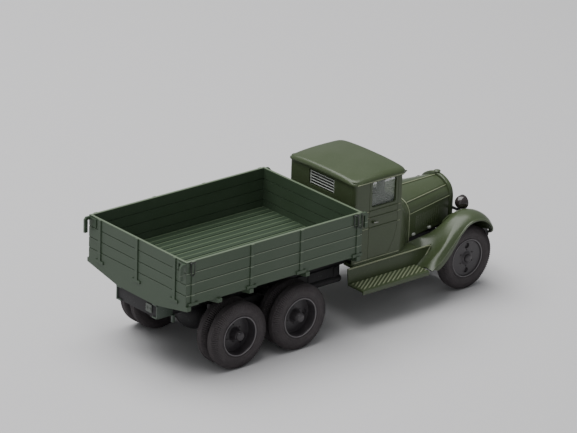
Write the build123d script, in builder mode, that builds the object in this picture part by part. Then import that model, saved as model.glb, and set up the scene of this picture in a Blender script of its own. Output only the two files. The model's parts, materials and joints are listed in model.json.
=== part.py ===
"""Scale model, 1:43, of a three-axle army cargo truck of the 1930s.

Millimetres. X points forward, Y to the left and Z up. The model stands on Z = 0, and
X = 0 is the middle of its length. Right-hand pieces are drawn and left-hand ones are
their mirror images.
"""
import os
from math import cos, radians, sin, sqrt, tan

from build123d import *

os.makedirs("parts", exist_ok=True)

# Overall layout, with lengths measured along X
bogie_spread = 25.1         # rear axle to middle axle
bed_rear_reach = 35.7       # middle of the bogie back to the bed's rear face
bumper_reach = 14.5         # front axle forward to the bumper's face
bed_length = 72.8
cab_gap = 3.8               # load bed to cab
cab_length = 20.6           # cab rear wall to cab front wall
cowl_length = 8.5
hood_length = 21.5
radiator_depth = 1.9
axle_setback = 0.9          # front of the hood ahead of the front axle
hook_reach = 2.3            # side hooks beyond the ends of the bed

# Tyres and wheels
tyre_radius = 11.2
tyre_width = 4.4
tread_width = 2.9
shoulder_drop = 1.1         # tread down to the widest part of the tyre
bead_dish = 0.45            # bead behind the widest part of the side wall
tyre_sides = 40
wheel_sides = 24
hub_sides = 12
rim_radius = 6.8
rim_wall = 0.6
twin_gap = 0.8              # between the two tyres of a twin wheel
front_tyre_face = 19.2      # Y of the outer face of the front tyres
twin_tyre_face = 24.7       # Y of the outer face of the twin tyres
rod_radius = 0.75
hub_radius = 2.1
cap_radius = 1.5
seat_gap = 0.05             # tyre to rim, pane to frame and the like
press_gap = 0.01            # rod in a wheel
running_gap = 0.05          # rod in its bearing
side_play = 0.3             # wheel hub to bearing end

# Frame
rail_outer_y = 10.4
rail_width = 2.3
rail_height = 4.7
rail_top_z = 22.8
rail_wall = 0.6
rail_rear_inset = 0.6       # rail end ahead of the bed's rear face
bumper_half_width = 13.5
bumper_height = 3.2
bumper_thickness = 1.4
bumper_bottom_z = 13.4

# Axles and springs
axle_tube_radius = 1.7
bowl_radius = 5.2
bowl_half_width = 6.0
leaf_thickness = 0.4
spring_width = 1.9
bogie_spring_width = 2.3
screw_radius = 1.05         # plinth screw holes
screw_depth = 4.0
boss_radius = 2.2

# Load bed
bed_half_width = 25.0
bed_wall = 0.85
side_height = 15.0          # underside of the floor to the top of the sides
floor_thickness = 1.4
beam_depth = 4.6            # cross beams, at the rails
beam_tip_depth = 1.4
beam_width = 1.6
beam_overhang = 0.8         # beam tips beyond the side boards
side_planks = 4
floor_planks = 9
groove_width = 0.3
groove_depth = 0.2
strap_width = 1.3
strap_thickness = 0.35
rear_strap_inset = 2.7      # end straps from the ends of the bed
front_strap_inset = 1.8
inner_straps = (0.365, 0.648)           # as shares of the bed's length
inner_beams = (0.183, 0.359, 0.68)

# Cab
cab_half_width = 16.5
cab_wall = 0.8
cab_bottom_z = 19.7
cab_top_z = 48.6
cab_corner = 1.4
belt_z = 37.7
roof_overhang = 0.6
roof_crown = 1.8            # cab top to the crown of the roof
roof_side_crown = 0.7
roof_skirt = 0.9            # skirt below the cab top
pane_thickness = 0.3

# Hood, cowl and radiator
hood_wall = 0.6
hood_bottom_z = 21.0
hood_rear_half_width = 11.5
hood_front_half_width = 7.5
hood_top_z = 35.0
louvre_count = 14           # upright slots on each side
louvre_pitch = 0.7
louvre_width = 0.35
louvre_height = 5.6
louvre_depth = 0.2

# Fenders and running boards
fender_inner_y = 10.6
fender_outer_y = 22.4
fender_sheet = 0.6
board_outer_y = 24.9
board_top_z = 14.1
board_sheet = 0.7
apron_outer_y = 17.6
apron_top_z = 19.2

# Lamps
lamp_radius = 2.45
lamp_length = 4.2
lamp_y = 11.0
lamp_z = 28.1

# Places that follow from the layout
wheelbase = (bed_length - bed_rear_reach + cab_gap + cab_length + cowl_length + hood_length
             - axle_setback)
rear_reach = bed_rear_reach + hook_reach
front_reach = wheelbase + bumper_reach
bogie_x = (rear_reach - front_reach) / 2
front_x = bogie_x + wheelbase
rear_axle_x = bogie_x - bogie_spread / 2
middle_axle_x = bogie_x + bogie_spread / 2
bed_rear_x = bogie_x - bed_rear_reach
bed_front_x = bed_rear_x + bed_length
cab_rear_x = bed_front_x + cab_gap
cab_front_x = cab_rear_x + cab_length
hood_rear_x = cab_front_x + cowl_length
hood_front_x = hood_rear_x + hood_length
radiator_front_x = hood_front_x + radiator_depth
bumper_x = front_x + bumper_reach
axle_z = tyre_radius
rail_bottom_z = rail_top_z - rail_height
rail_inner_y = rail_outer_y - rail_width
bed_bottom_z = rail_top_z + beam_depth
bed_floor_z = bed_bottom_z + floor_thickness
bed_top_z = bed_bottom_z + side_height
cab_floor_z = rail_top_z + 0.1
board_rear_x = cab_rear_x - 2.1
board_front_x = hood_rear_x - 2.0


def save(builder, name):
    builder.part.label = name
    export_step(builder.part, f"parts/{name}.step")


def mirrored(builder):
    """The left-hand twin of a right-hand piece."""
    with BuildPart() as twin:
        mirror(builder.part, about=Plane.XZ)
    return twin


flat_limit = 1e-9           # volume under which four points count as flat


def polygon(sides, apothem):
    """A many-sided circle that lies on a flat, from the distance to its flats."""
    return RegularPolygon(apothem, sides, major_radius=False, rotation=180 / sides)


def skin(outlines, ring=False):
    """A solid with flat faces through a row of outlines whose points match.

    A ring closes on itself. Any other row is capped by its first and its last outline.
    """
    following = outlines[1:]
    faces = []
    if ring:
        following = following + outlines[:1]
    else:
        faces = [Face(Wire.make_polygon(outline)) for outline in (outlines[0], outlines[-1])]
    for near, far in zip(outlines, following):
        for number, corner in enumerate(near):
            a, b, c, d = [Vector(*point) for point in
                          (near[number - 1], corner, far[number], far[number - 1])]
            if abs((b - a).cross(c - a).dot(d - a)) < flat_limit:
                faces.append(Face(Wire.make_polygon([a, b, c, d])))
            else:
                faces.append(Face(Wire.make_polygon([a, b, c])))
                faces.append(Face(Wire.make_polygon([a, c, d])))
    return Solid(Shell(faces))


def turned(plane, sides, steps, ring=False):
    """A many-sided turned piece. Each step is a distance along the axis and a radius."""
    outlines = []
    for distance, flat_radius in steps:
        corner_radius = flat_radius / cos(radians(180 / sides))
        angles = [radians(360 * (number + 0.5) / sides) for number in range(sides)]
        outlines.append([
            tuple(plane.from_local_coords(
                (corner_radius * cos(angle), corner_radius * sin(angle), distance)))
            for angle in angles
        ])
    return skin(outlines, ring)


# Frame rails, channels that open inwards, with drooping front horns
rail_rear_x = bed_rear_x + rail_rear_inset
rail_front_x = bumper_x - bumper_thickness
drop_x = cab_rear_x + 15.0
horn_x = front_x + 4.0
rail_underside = [(rail_rear_x, rail_bottom_z), (drop_x, rail_bottom_z),
                  (horn_x, axle_z + 5.5)]
rail_topside = [(horn_x, axle_z + 7.6), (drop_x, rail_top_z), (rail_rear_x, rail_top_z)]
horn_end = [(front_x + 10.4, axle_z + 5.0), (front_x + 11.5, bumper_bottom_z + 0.4),
            (rail_front_x, bumper_bottom_z + 0.4), (rail_front_x, bumper_bottom_z + bumper_height)]
channel_rear_x = rail_rear_x + rail_wall


def rail_under(x):
    """Height of the sloping underside of a rail, between the cab and the horn."""
    share = max(0.0, (x - drop_x) / (horn_x - drop_x))
    return rail_bottom_z + share * (axle_z + 5.5 - rail_bottom_z)


with BuildPart() as rail_right:
    with BuildSketch(Plane.XZ.offset(rail_outer_y)):
        with BuildLine():
            Polyline(*rail_underside, *horn_end, *rail_topside, close=True)
        make_face()
    extrude(amount=-rail_width)
    with BuildSketch(Plane.XZ.offset(rail_outer_y - rail_wall)):
        with BuildLine():
            Polyline(*[(max(x, channel_rear_x), z + rail_wall) for x, z in rail_underside],
                     *[(max(x, channel_rear_x), z - rail_wall) for x, z in rail_topside],
                     close=True)
        make_face()
    extrude(amount=-rail_width, mode=Mode.SUBTRACT)
save(rail_right, "rail_right")
save(mirrored(rail_right), "rail_left")

# Crossmembers between the rails. Those in the channels leave a margin above and below
member_margin = 0.4
member_height = rail_height - 2 * member_margin - 0.5
end_member_length = 1.2
thin_member_length = 1.6
trunnion_member_length = 4.0
screw_member_length = 2.6
rear_screw_x = bed_rear_x + 8.7
front_screw_x = front_x + 6.4
front_member_z = axle_z + 5.6
front_member_height = 1.4
radiator_seat_z = axle_z + 5.2
# Crossmember: middle x, length along x, bottom z, height
crossmember_table = [
    (rail_rear_x + end_member_length / 2, end_member_length, rail_bottom_z, rail_height),
    (rear_screw_x, screw_member_length, rail_bottom_z, 2.4),
    (bogie_x, trunnion_member_length, rail_bottom_z + member_margin, member_height),
    ((middle_axle_x + cab_rear_x) / 2, thin_member_length,
     rail_bottom_z + member_margin, member_height),
    (cab_rear_x + 2.0, thin_member_length, rail_bottom_z + member_margin, member_height),
    (hood_front_x + radiator_depth / 2, radiator_depth, radiator_seat_z, front_member_height),
    (front_screw_x, screw_member_length, front_member_z, front_member_height),
]
screw_places = [(rear_screw_x, rail_bottom_z), (front_screw_x, front_member_z)]
boss_drop = screw_depth + 0.6

with BuildPart() as crossmembers:
    for middle_x, length, bottom_z, height in crossmember_table:
        with Locations((middle_x, 0, bottom_z)):
            Box(length, 2 * rail_inner_y, height,
                align=(Align.CENTER, Align.CENTER, Align.MIN))
    for boss_x, boss_top_z in screw_places:
        with BuildSketch(Plane.XY.offset(boss_top_z - boss_drop)):
            with Locations((boss_x, 0)):
                polygon(hub_sides, boss_radius)
        extrude(amount=boss_drop)
        with BuildSketch(Plane.XY.offset(boss_top_z - boss_drop)):
            with Locations((boss_x, 0)):
                Circle(screw_radius)
        extrude(amount=screw_depth, mode=Mode.SUBTRACT)
save(crossmembers, "crossmembers")

# Bumper, a channel that opens to the rear, with rounded ends
with BuildPart() as bumper:
    with BuildSketch(Plane.YZ.offset(bumper_x)):
        with Locations((0, bumper_bottom_z + bumper_height / 2)):
            SlotOverall(2 * bumper_half_width, bumper_height)
    extrude(amount=-bumper_thickness)
    with BuildSketch(Plane.YZ.offset(bumper_x - 0.5)):
        with Locations((0, bumper_bottom_z + bumper_height / 2)):
            Rectangle(2 * rail_inner_y, bumper_height - 1.0)
    extrude(amount=-bumper_thickness, mode=Mode.SUBTRACT)
save(bumper, "bumper")

# Engine with bell housing, gearbox and sump, hung on arms between the rails
engine_rear_x = hood_rear_x + 1.6
engine_front_x = hood_front_x - 2.4
gearbox_rear_x = cab_front_x - 3.0
engine_axis_z = 17.6
# Section: front x, rear x, half width, bottom z, top z
engine_table = [
    (engine_front_x, engine_rear_x, 4.2, 17.0, 30.5),
    (engine_front_x - 1.2, engine_rear_x + 1.0, 2.8, 14.2, 17.0),
    (engine_rear_x, engine_rear_x - 4.4, 3.6, 14.4, 21.0),
    (engine_rear_x - 4.4, gearbox_rear_x, 2.3, 15.0, 19.4),
    (engine_rear_x + 8.6, engine_rear_x + 6.0, rail_inner_y - seat_gap, 17.6, 19.4),
]
with BuildPart() as engine:
    for x_front, x_rear, half_width, bottom_z, top_z in engine_table:
        with Locations(((x_front + x_rear) / 2, 0, bottom_z)):
            Box(x_front - x_rear, 2 * half_width, top_z - bottom_z,
                align=(Align.CENTER, Align.CENTER, Align.MIN))
save(engine, "engine")

# Axle housings with differential bowls and a nose for the shaft on each side
shaft_z = axle_z + 3.0
nose_radius = 1.4
nose_reach = 5.6
hub_inner_y = twin_tyre_face - 2 * tyre_width - twin_gap - 0.7
housing_end_y = hub_inner_y - side_play
pad_top_z = axle_z + 2.0
pad_length = 3.4
bogie_spring_y = rail_outer_y + 0.8 + bogie_spring_width / 2
bowl_sides = 16
# Bowl: distance from the middle and radius, out to the tube
bowl_steps = [(0, bowl_radius), (1.6, bowl_radius * 0.96), (3.7, bowl_radius * 0.8),
              (5.1, bowl_radius * 0.57), (bowl_half_width, axle_tube_radius)]


def axle_plane(axle_x):
    """Sketch plane whose normal runs out to the right along the axle."""
    return Plane(origin=(axle_x, 0, axle_z), x_dir=(1, 0, 0), z_dir=(0, -1, 0))


def axle_housing(axle_x, noses):
    """A tube on the wheel rod with the bowl at its middle, bored for the rod."""
    with BuildPart() as housing:
        add(turned(axle_plane(axle_x), bowl_sides, bowl_steps))
        with BuildSketch(axle_plane(axle_x)):
            polygon(hub_sides, axle_tube_radius)
        extrude(amount=housing_end_y)
        mirror(about=Plane.XZ)
        for nose in noses:
            with BuildSketch(Plane.YZ.offset(axle_x)):
                with Locations((0, shaft_z)):
                    polygon(hub_sides, nose_radius)
            extrude(amount=nose * nose_reach)
        with Locations(*[(axle_x, y, axle_z) for y in (-bogie_spring_y, bogie_spring_y)]):
            Box(pad_length, bogie_spring_width, pad_top_z - axle_z,
                align=(Align.CENTER, Align.CENTER, Align.MIN))
        with BuildSketch(Plane.XZ):
            with Locations((axle_x, axle_z)):
                Circle(rod_radius + running_gap)
        extrude(amount=housing_end_y, both=True, mode=Mode.SUBTRACT)
    return housing


save(axle_housing(rear_axle_x, [1]), "rear_axle_housing")
save(axle_housing(middle_axle_x, [-1, 1]), "middle_axle_housing")

# Driveline: range box under the cab and three shafts in line with the noses
shaft_radius = 0.9
box_front_x = cab_rear_x + 7.0
box_rear_x = cab_rear_x - 1.0
with BuildPart() as driveline:
    with Locations(((box_front_x + box_rear_x) / 2, 0, shaft_z)):
        Box(box_front_x - box_rear_x, 5.0, 5.2)
    chamfer(driveline.edges().filter_by(Axis.X), length=1.0)
    # Shaft: from x, to x, z
    shaft_table = [
        (gearbox_rear_x, box_front_x, engine_axis_z - 1.7),
        (box_rear_x, middle_axle_x + nose_reach, shaft_z),
        (middle_axle_x - nose_reach, rear_axle_x + nose_reach, shaft_z),
    ]
    for front_end, rear_end, height in shaft_table:
        with BuildSketch(Plane.YZ.offset(front_end - seat_gap)):
            with Locations((0, height)):
                polygon(hub_sides, shaft_radius)
        extrude(amount=rear_end - front_end + 2 * seat_gap)
save(driveline, "driveline")


def leaf_stack(half_lengths, sag, up):
    """Side view of a leaf spring about its middle, as bent strips laid on each other.

    The first leaf is the longest and lies at height 0 at its middle. Its ends are sag
    higher when up is 1 and lower when up is -1, and each next leaf lies on its back.
    """
    bend = (half_lengths[0] ** 2 + sag ** 2) / (2 * sag)
    with BuildSketch() as stack:
        for number, half_length in enumerate(half_lengths):
            inner = bend + number * leaf_thickness
            outer = inner + leaf_thickness
            rise_in = bend - sqrt(inner ** 2 - half_length ** 2)
            rise_out = bend - sqrt(outer ** 2 - half_length ** 2)
            with BuildLine():
                ThreePointArc((-half_length, up * rise_in), (0, up * (bend - inner)),
                              (half_length, up * rise_in))
                Line((half_length, up * rise_in), (half_length, up * rise_out))
                ThreePointArc((half_length, up * rise_out), (0, up * (bend - outer)),
                              (-half_length, up * rise_out))
                Line((-half_length, up * rise_out), (-half_length, up * rise_in))
            make_face()
    return stack.sketch


# Front springs under the rails, with eyes and rear shackles
front_spring_y = rail_outer_y - rail_width / 2
front_leaves = [9.2, 7.6, 5.8, 4.0, 2.4]
front_spring_sag = 0.9
front_pad_z = axle_z + 1.4
front_main_z = front_pad_z + len(front_leaves) * leaf_thickness
eye_radius = 0.7
eye_z = front_main_z + front_spring_sag
with BuildPart() as front_springs:
    spring_plane = Plane.XZ.offset(front_spring_y)
    with BuildSketch(spring_plane.shift_origin((front_x, -front_spring_y, front_main_z))):
        add(leaf_stack(front_leaves, front_spring_sag, 1))
    extrude(amount=spring_width / 2, both=True)
    with BuildSketch(spring_plane):
        with Locations(*[(front_x + s * front_leaves[0], eye_z) for s in (-1, 1)]):
            polygon(hub_sides, eye_radius)
    extrude(amount=spring_width / 2, both=True)
    with BuildSketch(spring_plane):
        with Locations((front_x - front_leaves[0], eye_z)):
            Rectangle(1.0, rail_under(front_x - front_leaves[0] + 0.5) - eye_z,
                      align=(Align.CENTER, Align.MIN))
    extrude(amount=spring_width / 2, both=True)
    mirror(about=Plane.XZ)
save(front_springs, "front_springs")

# Front axle: bored ends that carry the springs, and a dropped middle
front_hub_inner_y = front_tyre_face - tyre_width - 0.5
front_axle_end_y = front_hub_inner_y - side_play
beam_half = [
    (0, axle_z - 3.2), (rail_inner_y - 1.6, axle_z - 3.2), (rail_inner_y - 0.4, axle_z - 1.4),
    (front_axle_end_y, axle_z - 1.4), (front_axle_end_y, front_pad_z),
    (rail_inner_y - 0.4, front_pad_z), (rail_inner_y - 1.6, axle_z - 1.2), (0, axle_z - 1.2),
]
with BuildPart() as front_axle:
    with BuildSketch(Plane.YZ.offset(front_x)):
        with BuildLine():
            Polyline(*beam_half, close=True)
        make_face()
        mirror(about=Plane.YZ)
    extrude(amount=1.2, both=True)
    with BuildSketch(Plane.XZ):
        with Locations((front_x, axle_z)):
            Circle(rod_radius + running_gap)
    extrude(amount=front_axle_end_y, both=True, mode=Mode.SUBTRACT)
save(front_axle, "front_axle")

# Bogie: trunnion brackets under the rails, and inverted springs on the housing pads
bogie_leaves = [bogie_spread / 2 + 0.9, 10.4, 8.2, 6.0, 3.8]
seat_z = pad_top_z + 2.9
bogie_sag = seat_z - pad_top_z
with BuildPart() as bogie_springs:
    bogie_plane = Plane.XZ.offset(bogie_spring_y)
    with BuildSketch(bogie_plane.shift_origin((bogie_x, -bogie_spring_y, seat_z))):
        add(leaf_stack(bogie_leaves, bogie_sag, -1))
    extrude(amount=bogie_spring_width / 2, both=True)
    mirror(about=Plane.XZ)
save(bogie_springs, "bogie_springs")

trunnion_z = shaft_z - shaft_radius - 1.6
with BuildPart() as bogie_trunnion:
    with BuildSketch(Plane.XZ.offset(rail_inner_y)):
        with BuildLine():
            Polyline(
                (bogie_x - 4.0, rail_bottom_z), (bogie_x - 1.6, trunnion_z - 1.4),
                (bogie_x + 1.6, trunnion_z - 1.4), (bogie_x + 4.0, rail_bottom_z), close=True,
            )
        make_face()
    extrude(amount=rail_width)
    with Locations((bogie_x, -(rail_outer_y + 0.8 + bogie_spring_width) / 2 - rail_outer_y / 2,
                    seat_z - 4 * seat_gap)):
        Box(3.6, bogie_spring_width + 0.8, 3.0,
            align=(Align.CENTER, Align.CENTER, Align.MAX))
    mirror(about=Plane.XZ)
    with BuildSketch(Plane.XZ):
        with Locations((bogie_x, trunnion_z)):
            polygon(hub_sides, 1.1)
    extrude(amount=rail_inner_y + 0.5, both=True)
save(bogie_trunnion, "bogie_trunnion")

# Silencer under the right rail, with two hangers
muffler_radius = 1.3
muffler_z = 13.7
muffler_rear_x = middle_axle_x + 7.45
muffler_length = 21.0
hanger_inset = 4.0
hanger_length = 1.0
with BuildPart() as muffler:
    with BuildSketch(Plane.YZ.offset(muffler_rear_x)):
        with Locations((-rail_outer_y, muffler_z)):
            polygon(hub_sides, muffler_radius)
    extrude(amount=muffler_length)
    for hanger_x in (muffler_rear_x + hanger_inset,
                     muffler_rear_x + muffler_length - hanger_inset):
        with Locations((hanger_x, -rail_outer_y, muffler_z)):
            Box(hanger_length, 0.6, rail_bottom_z - muffler_z,
                align=(Align.CENTER, Align.MIN, Align.MIN))
save(muffler, "muffler")

# Wheels. Twin wheels are one piece a side, with a deep outer face
tyre_bore = rim_radius + seat_gap
bead_inset = 0.35           # rim edge behind the face of the tyre
rod_hole = rod_radius + press_gap
cap_depth = 1.6             # cap end to the end of the rod hole
hand_hole_reach = 4.4
hand_hole_radius = 0.85
hand_hole_sides = 8
front_band = (front_tyre_face - tyre_width + bead_inset, front_tyre_face - bead_inset)
twin_band = (twin_tyre_face - 2 * tyre_width - twin_gap + bead_inset,
             twin_tyre_face - bead_inset)
front_disc = (front_tyre_face - 1.6, front_tyre_face - 0.9)
twin_disc = (twin_tyre_face - tyre_width - 0.2, twin_tyre_face - tyre_width + 0.6)
# Wheel: inner hub face, rim band, disc, cap end, all as distances from the middle
front_wheel_sizes = (front_hub_inner_y, front_band, front_disc, front_tyre_face + 0.6)
twin_wheel_sizes = (hub_inner_y, twin_band, twin_disc, twin_tyre_face + 0.3)


def wheels(axle_x, sizes, hole_angles):
    """A pair of wheels: rim band, disc with two hand holes, hub inside and cap outside."""
    hub_face, band, disc, cap_end = sizes
    plane = axle_plane(axle_x)
    rim_flat = rim_radius * cos(radians(180 / wheel_sides))
    with BuildPart() as pair:
        add(turned(plane, wheel_sides, [(band[0], rim_flat), (band[1], rim_flat)]))
        for start, end in ((band[0], disc[0]), (disc[1], band[1])):
            with BuildSketch(plane.offset(start)):
                polygon(wheel_sides, rim_radius - rim_wall)
            extrude(amount=end - start, mode=Mode.SUBTRACT)
        add(turned(plane, hub_sides, [(hub_face, hub_radius), (disc[1], hub_radius)]))
        add(turned(plane, hub_sides, [
            (disc[1], cap_radius + 0.7), (cap_end - 1.2, cap_radius),
            (cap_end - 0.4, cap_radius), (cap_end, cap_radius - 0.6),
        ]))
        with BuildSketch(plane.offset(hub_face)):
            polygon(hub_sides, rod_hole)
        extrude(amount=cap_end - cap_depth - hub_face, mode=Mode.SUBTRACT)
        with BuildSketch(plane.offset(disc[0])):
            for angle in hole_angles:
                with Locations((hand_hole_reach * cos(radians(angle)),
                                hand_hole_reach * sin(radians(angle)))):
                    polygon(hand_hole_sides, hand_hole_radius)
        extrude(amount=disc[1] - disc[0], mode=Mode.SUBTRACT)
        mirror(about=Plane.XZ)
    return pair


def tyres(axle_x, outer_faces):
    """Tyres with a flat tread, slanting shoulders and dished side walls, on both sides."""
    slant = (tyre_width - tread_width) / 2
    with BuildPart() as ring:
        for outer_face in outer_faces:
            inner_face = outer_face - tyre_width
            add(turned(axle_plane(axle_x), tyre_sides, [
                (inner_face + bead_dish, tyre_bore),
                (inner_face, tyre_radius - shoulder_drop), (inner_face + slant, tyre_radius),
                (outer_face - slant, tyre_radius), (outer_face, tyre_radius - shoulder_drop),
                (outer_face - bead_dish, tyre_bore),
            ], ring=True))
        mirror(about=Plane.XZ)
    return ring


def rod(axle_x, half_length):
    with BuildPart() as pin:
        with BuildSketch(Plane.XZ):
            with Locations((axle_x, axle_z)):
                Circle(rod_radius)
        extrude(amount=half_length, both=True)
    return pin


twin_tyre_faces = [twin_tyre_face, twin_tyre_face - tyre_width - twin_gap]
# Axle: name, x, wheel sizes, angles of the two hand holes, outer faces of its tyres
axle_table = [
    ("front", front_x, front_wheel_sizes, (90, 270), [front_tyre_face]),
    ("middle", middle_axle_x, twin_wheel_sizes, (0, 180), twin_tyre_faces),
    ("rear", rear_axle_x, twin_wheel_sizes, (135, 315), twin_tyre_faces),
]
for name, axle_x, sizes, hole_angles, outer_faces in axle_table:
    save(wheels(axle_x, sizes, hole_angles), f"{name}_wheels")
    save(tyres(axle_x, outer_faces), f"{name}_tyres")
    save(rod(axle_x, sizes[3] - cap_depth - 0.1), f"{name}_rod")

# Load bed floor with lengthwise planks
with BuildPart() as bed_floor:
    floor_length = bed_length - 2 * bed_wall
    with Locations((bed_rear_x + bed_length / 2, 0, bed_bottom_z)):
        Box(floor_length, 2 * (bed_half_width - bed_wall), floor_thickness,
            align=(Align.CENTER, Align.CENTER, Align.MIN))
    plank_width = 2 * (bed_half_width - bed_wall) / floor_planks
    with Locations((bed_rear_x + bed_length / 2, 0, bed_floor_z)):
        with GridLocations(0, plank_width, 1, floor_planks - 1):
            Box(floor_length, groove_width, 2 * groove_depth, mode=Mode.SUBTRACT)
save(bed_floor, "bed_floor")

plank_height = side_height / side_planks
foot_height = 1.0
foot_width = 4.0
foot_thickness = 0.5


def board_grooves(middle_x, middle_y, length_x, length_y, faces):
    """Plank joints round a standing board, cut on the faces that are named."""
    for number in range(1, side_planks):
        height = bed_bottom_z + number * plank_height
        for shift_x, shift_y in faces:
            with Locations((middle_x + shift_x, middle_y + shift_y, height)):
                Box(length_x, length_y, groove_width, mode=Mode.SUBTRACT)


# Right side board with its straps and their feet
side_middle_x = bed_rear_x + bed_length / 2
side_length = bed_length - bed_wall
strap_places = [bed_rear_x + rear_strap_inset]
strap_places += [bed_rear_x + share * bed_length for share in inner_straps]
strap_places += [bed_front_x - front_strap_inset]
with BuildPart() as bed_side_right:
    with Locations((side_middle_x + bed_wall / 2, -bed_half_width, bed_bottom_z)):
        Box(side_length, bed_wall, side_height, align=(Align.CENTER, Align.MIN, Align.MIN))
    board_grooves(side_middle_x, -bed_half_width + bed_wall / 2, bed_length + 1,
                  2 * groove_depth, [(0, -bed_wall / 2), (0, bed_wall / 2)])
    for strap_x in strap_places:
        with Locations((strap_x, -bed_half_width, bed_bottom_z)):
            Box(strap_width, strap_thickness, side_height,
                align=(Align.CENTER, Align.MAX, Align.MIN))
        foot_x = min(strap_x, bed_front_x - foot_width / 2)
        foot_x = max(foot_x, bed_rear_x + bed_wall + foot_width / 2)
        with Locations((foot_x, -bed_half_width, bed_bottom_z)):
            Box(foot_width, foot_thickness, foot_height,
                align=(Align.CENTER, Align.MAX, Align.MIN))
save(bed_side_right, "bed_side_right")
save(mirrored(bed_side_right), "bed_side_left")

# Headboard between the sides
with BuildPart() as bed_front:
    with Locations((bed_front_x, 0, bed_bottom_z)):
        Box(bed_wall, 2 * (bed_half_width - bed_wall), side_height,
            align=(Align.MAX, Align.CENTER, Align.MIN))
    board_grooves(bed_front_x, 0, 2 * groove_depth, 2 * bed_half_width,
                  [(0, 0), (-bed_wall, 0)])
save(bed_front, "bed_front")

# Tailgate across the full width with three straps
tail_strap_y = bed_half_width - 5.8
with BuildPart() as tailgate:
    with Locations((bed_rear_x, 0, bed_bottom_z)):
        Box(bed_wall, 2 * bed_half_width, side_height,
            align=(Align.MIN, Align.CENTER, Align.MIN))
    board_grooves(bed_rear_x, 0, 2 * groove_depth, 2 * bed_half_width + 1,
                  [(0, 0), (bed_wall, 0)])
    for strap_y in (-tail_strap_y, 0, tail_strap_y):
        with Locations((bed_rear_x, strap_y, bed_bottom_z)):
            Box(strap_thickness, strap_width, side_height,
                align=(Align.MAX, Align.CENTER, Align.MIN))
            Box(strap_thickness, foot_width, foot_height,
                align=(Align.MAX, Align.CENTER, Align.MIN))
save(tailgate, "tailgate")

# Cross beams under the bed, deep between the rails and thin at the tips
beam_tip_y = bed_half_width + beam_overhang
beam_half = [
    (0, rail_top_z), (rail_outer_y - 0.8, rail_top_z),
    (beam_tip_y, bed_bottom_z - beam_tip_depth), (beam_tip_y, bed_bottom_z), (0, bed_bottom_z),
]
beam_places = [bed_rear_x + beam_width / 2]
beam_places += [bed_rear_x + share * bed_length for share in inner_beams]
beam_places += [bed_front_x - front_strap_inset]
with BuildPart() as bed_beams:
    for beam_x in beam_places:
        with BuildSketch(Plane.YZ.offset(beam_x)):
            with BuildLine():
                Polyline(*beam_half, close=True)
            make_face()
            mirror(about=Plane.YZ)
        extrude(amount=beam_width / 2, both=True)
save(bed_beams, "bed_beams")

# Latches: hooks beyond the ends of the side boards, and bails on the tailgate
hook_top_z = bed_top_z - 0.4
hook_width = 1.2
hook_depth = 0.8
hook_drop = 5.3
bail_inner_y = bed_half_width - 4.0
bail_width = 0.5
bail_drop = 3.0
hook_leg = hook_reach - hook_width
hook_outline = [
    (0, hook_top_z - 1.0), (0, hook_top_z), (hook_reach - 0.7, hook_top_z),
    (hook_reach, hook_top_z - 0.8), (hook_reach, hook_top_z - hook_drop),
    (hook_leg, hook_top_z - hook_drop), (hook_leg, hook_top_z - 1.0),
]
bail_end_y = bed_half_width - hook_depth - 0.1
bail_outline = [
    (-bail_end_y, hook_top_z - 0.1), (-bail_inner_y, hook_top_z - 0.1),
    (-bail_inner_y, hook_top_z - bail_drop), (-bail_inner_y - bail_width, hook_top_z - bail_drop),
    (-bail_inner_y - bail_width, hook_top_z - 0.6), (-bail_end_y, hook_top_z - 0.6),
]
with BuildPart() as bed_latches:
    for end_x, outward in ((bed_rear_x, -1), (bed_front_x, 1)):
        with BuildSketch(Plane.XZ.offset(bed_half_width)):
            with BuildLine():
                Polyline(*[(end_x + outward * reach, z) for reach, z in hook_outline], close=True)
            make_face()
        extrude(amount=-hook_depth)
    with BuildSketch(Plane.YZ.offset(bed_rear_x)):
        with BuildLine():
            Polyline(*bail_outline, close=True)
        make_face()
    extrude(amount=-strap_thickness)
    mirror(about=Plane.XZ)
save(bed_latches, "bed_latches")


# Cab shell: hollow above the floor, open for doors, windscreen and rear window
door_rear_x = cab_rear_x + 6.6
door_front_x = cab_front_x - 1.4
door_bottom_z = cab_bottom_z + 0.9
door_top_z = cab_top_z - 0.6
door_curve_z = cab_bottom_z + 11.3
door_gap = 0.12
window_sill_z = belt_z + 0.7
window_top_z = cab_top_z - 1.4


def door_outline(gap):
    """Side view of the door. Its lower front corner follows the wheel arch."""
    toe_x = door_front_x - 4.2
    with BuildSketch() as outline:
        with BuildLine():
            Polyline(
                (toe_x, door_bottom_z + gap), (door_rear_x + gap, door_bottom_z + gap),
                (door_rear_x + gap, door_top_z - gap), (door_front_x - gap, door_top_z - gap),
                (door_front_x - gap, door_curve_z),
            )
            ThreePointArc(
                (door_front_x - gap, door_curve_z),
                (door_front_x - 1.3 - gap, cab_bottom_z + 5.7),
                (toe_x, door_bottom_z + gap),
            )
        make_face()
    return outline.sketch


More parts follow.
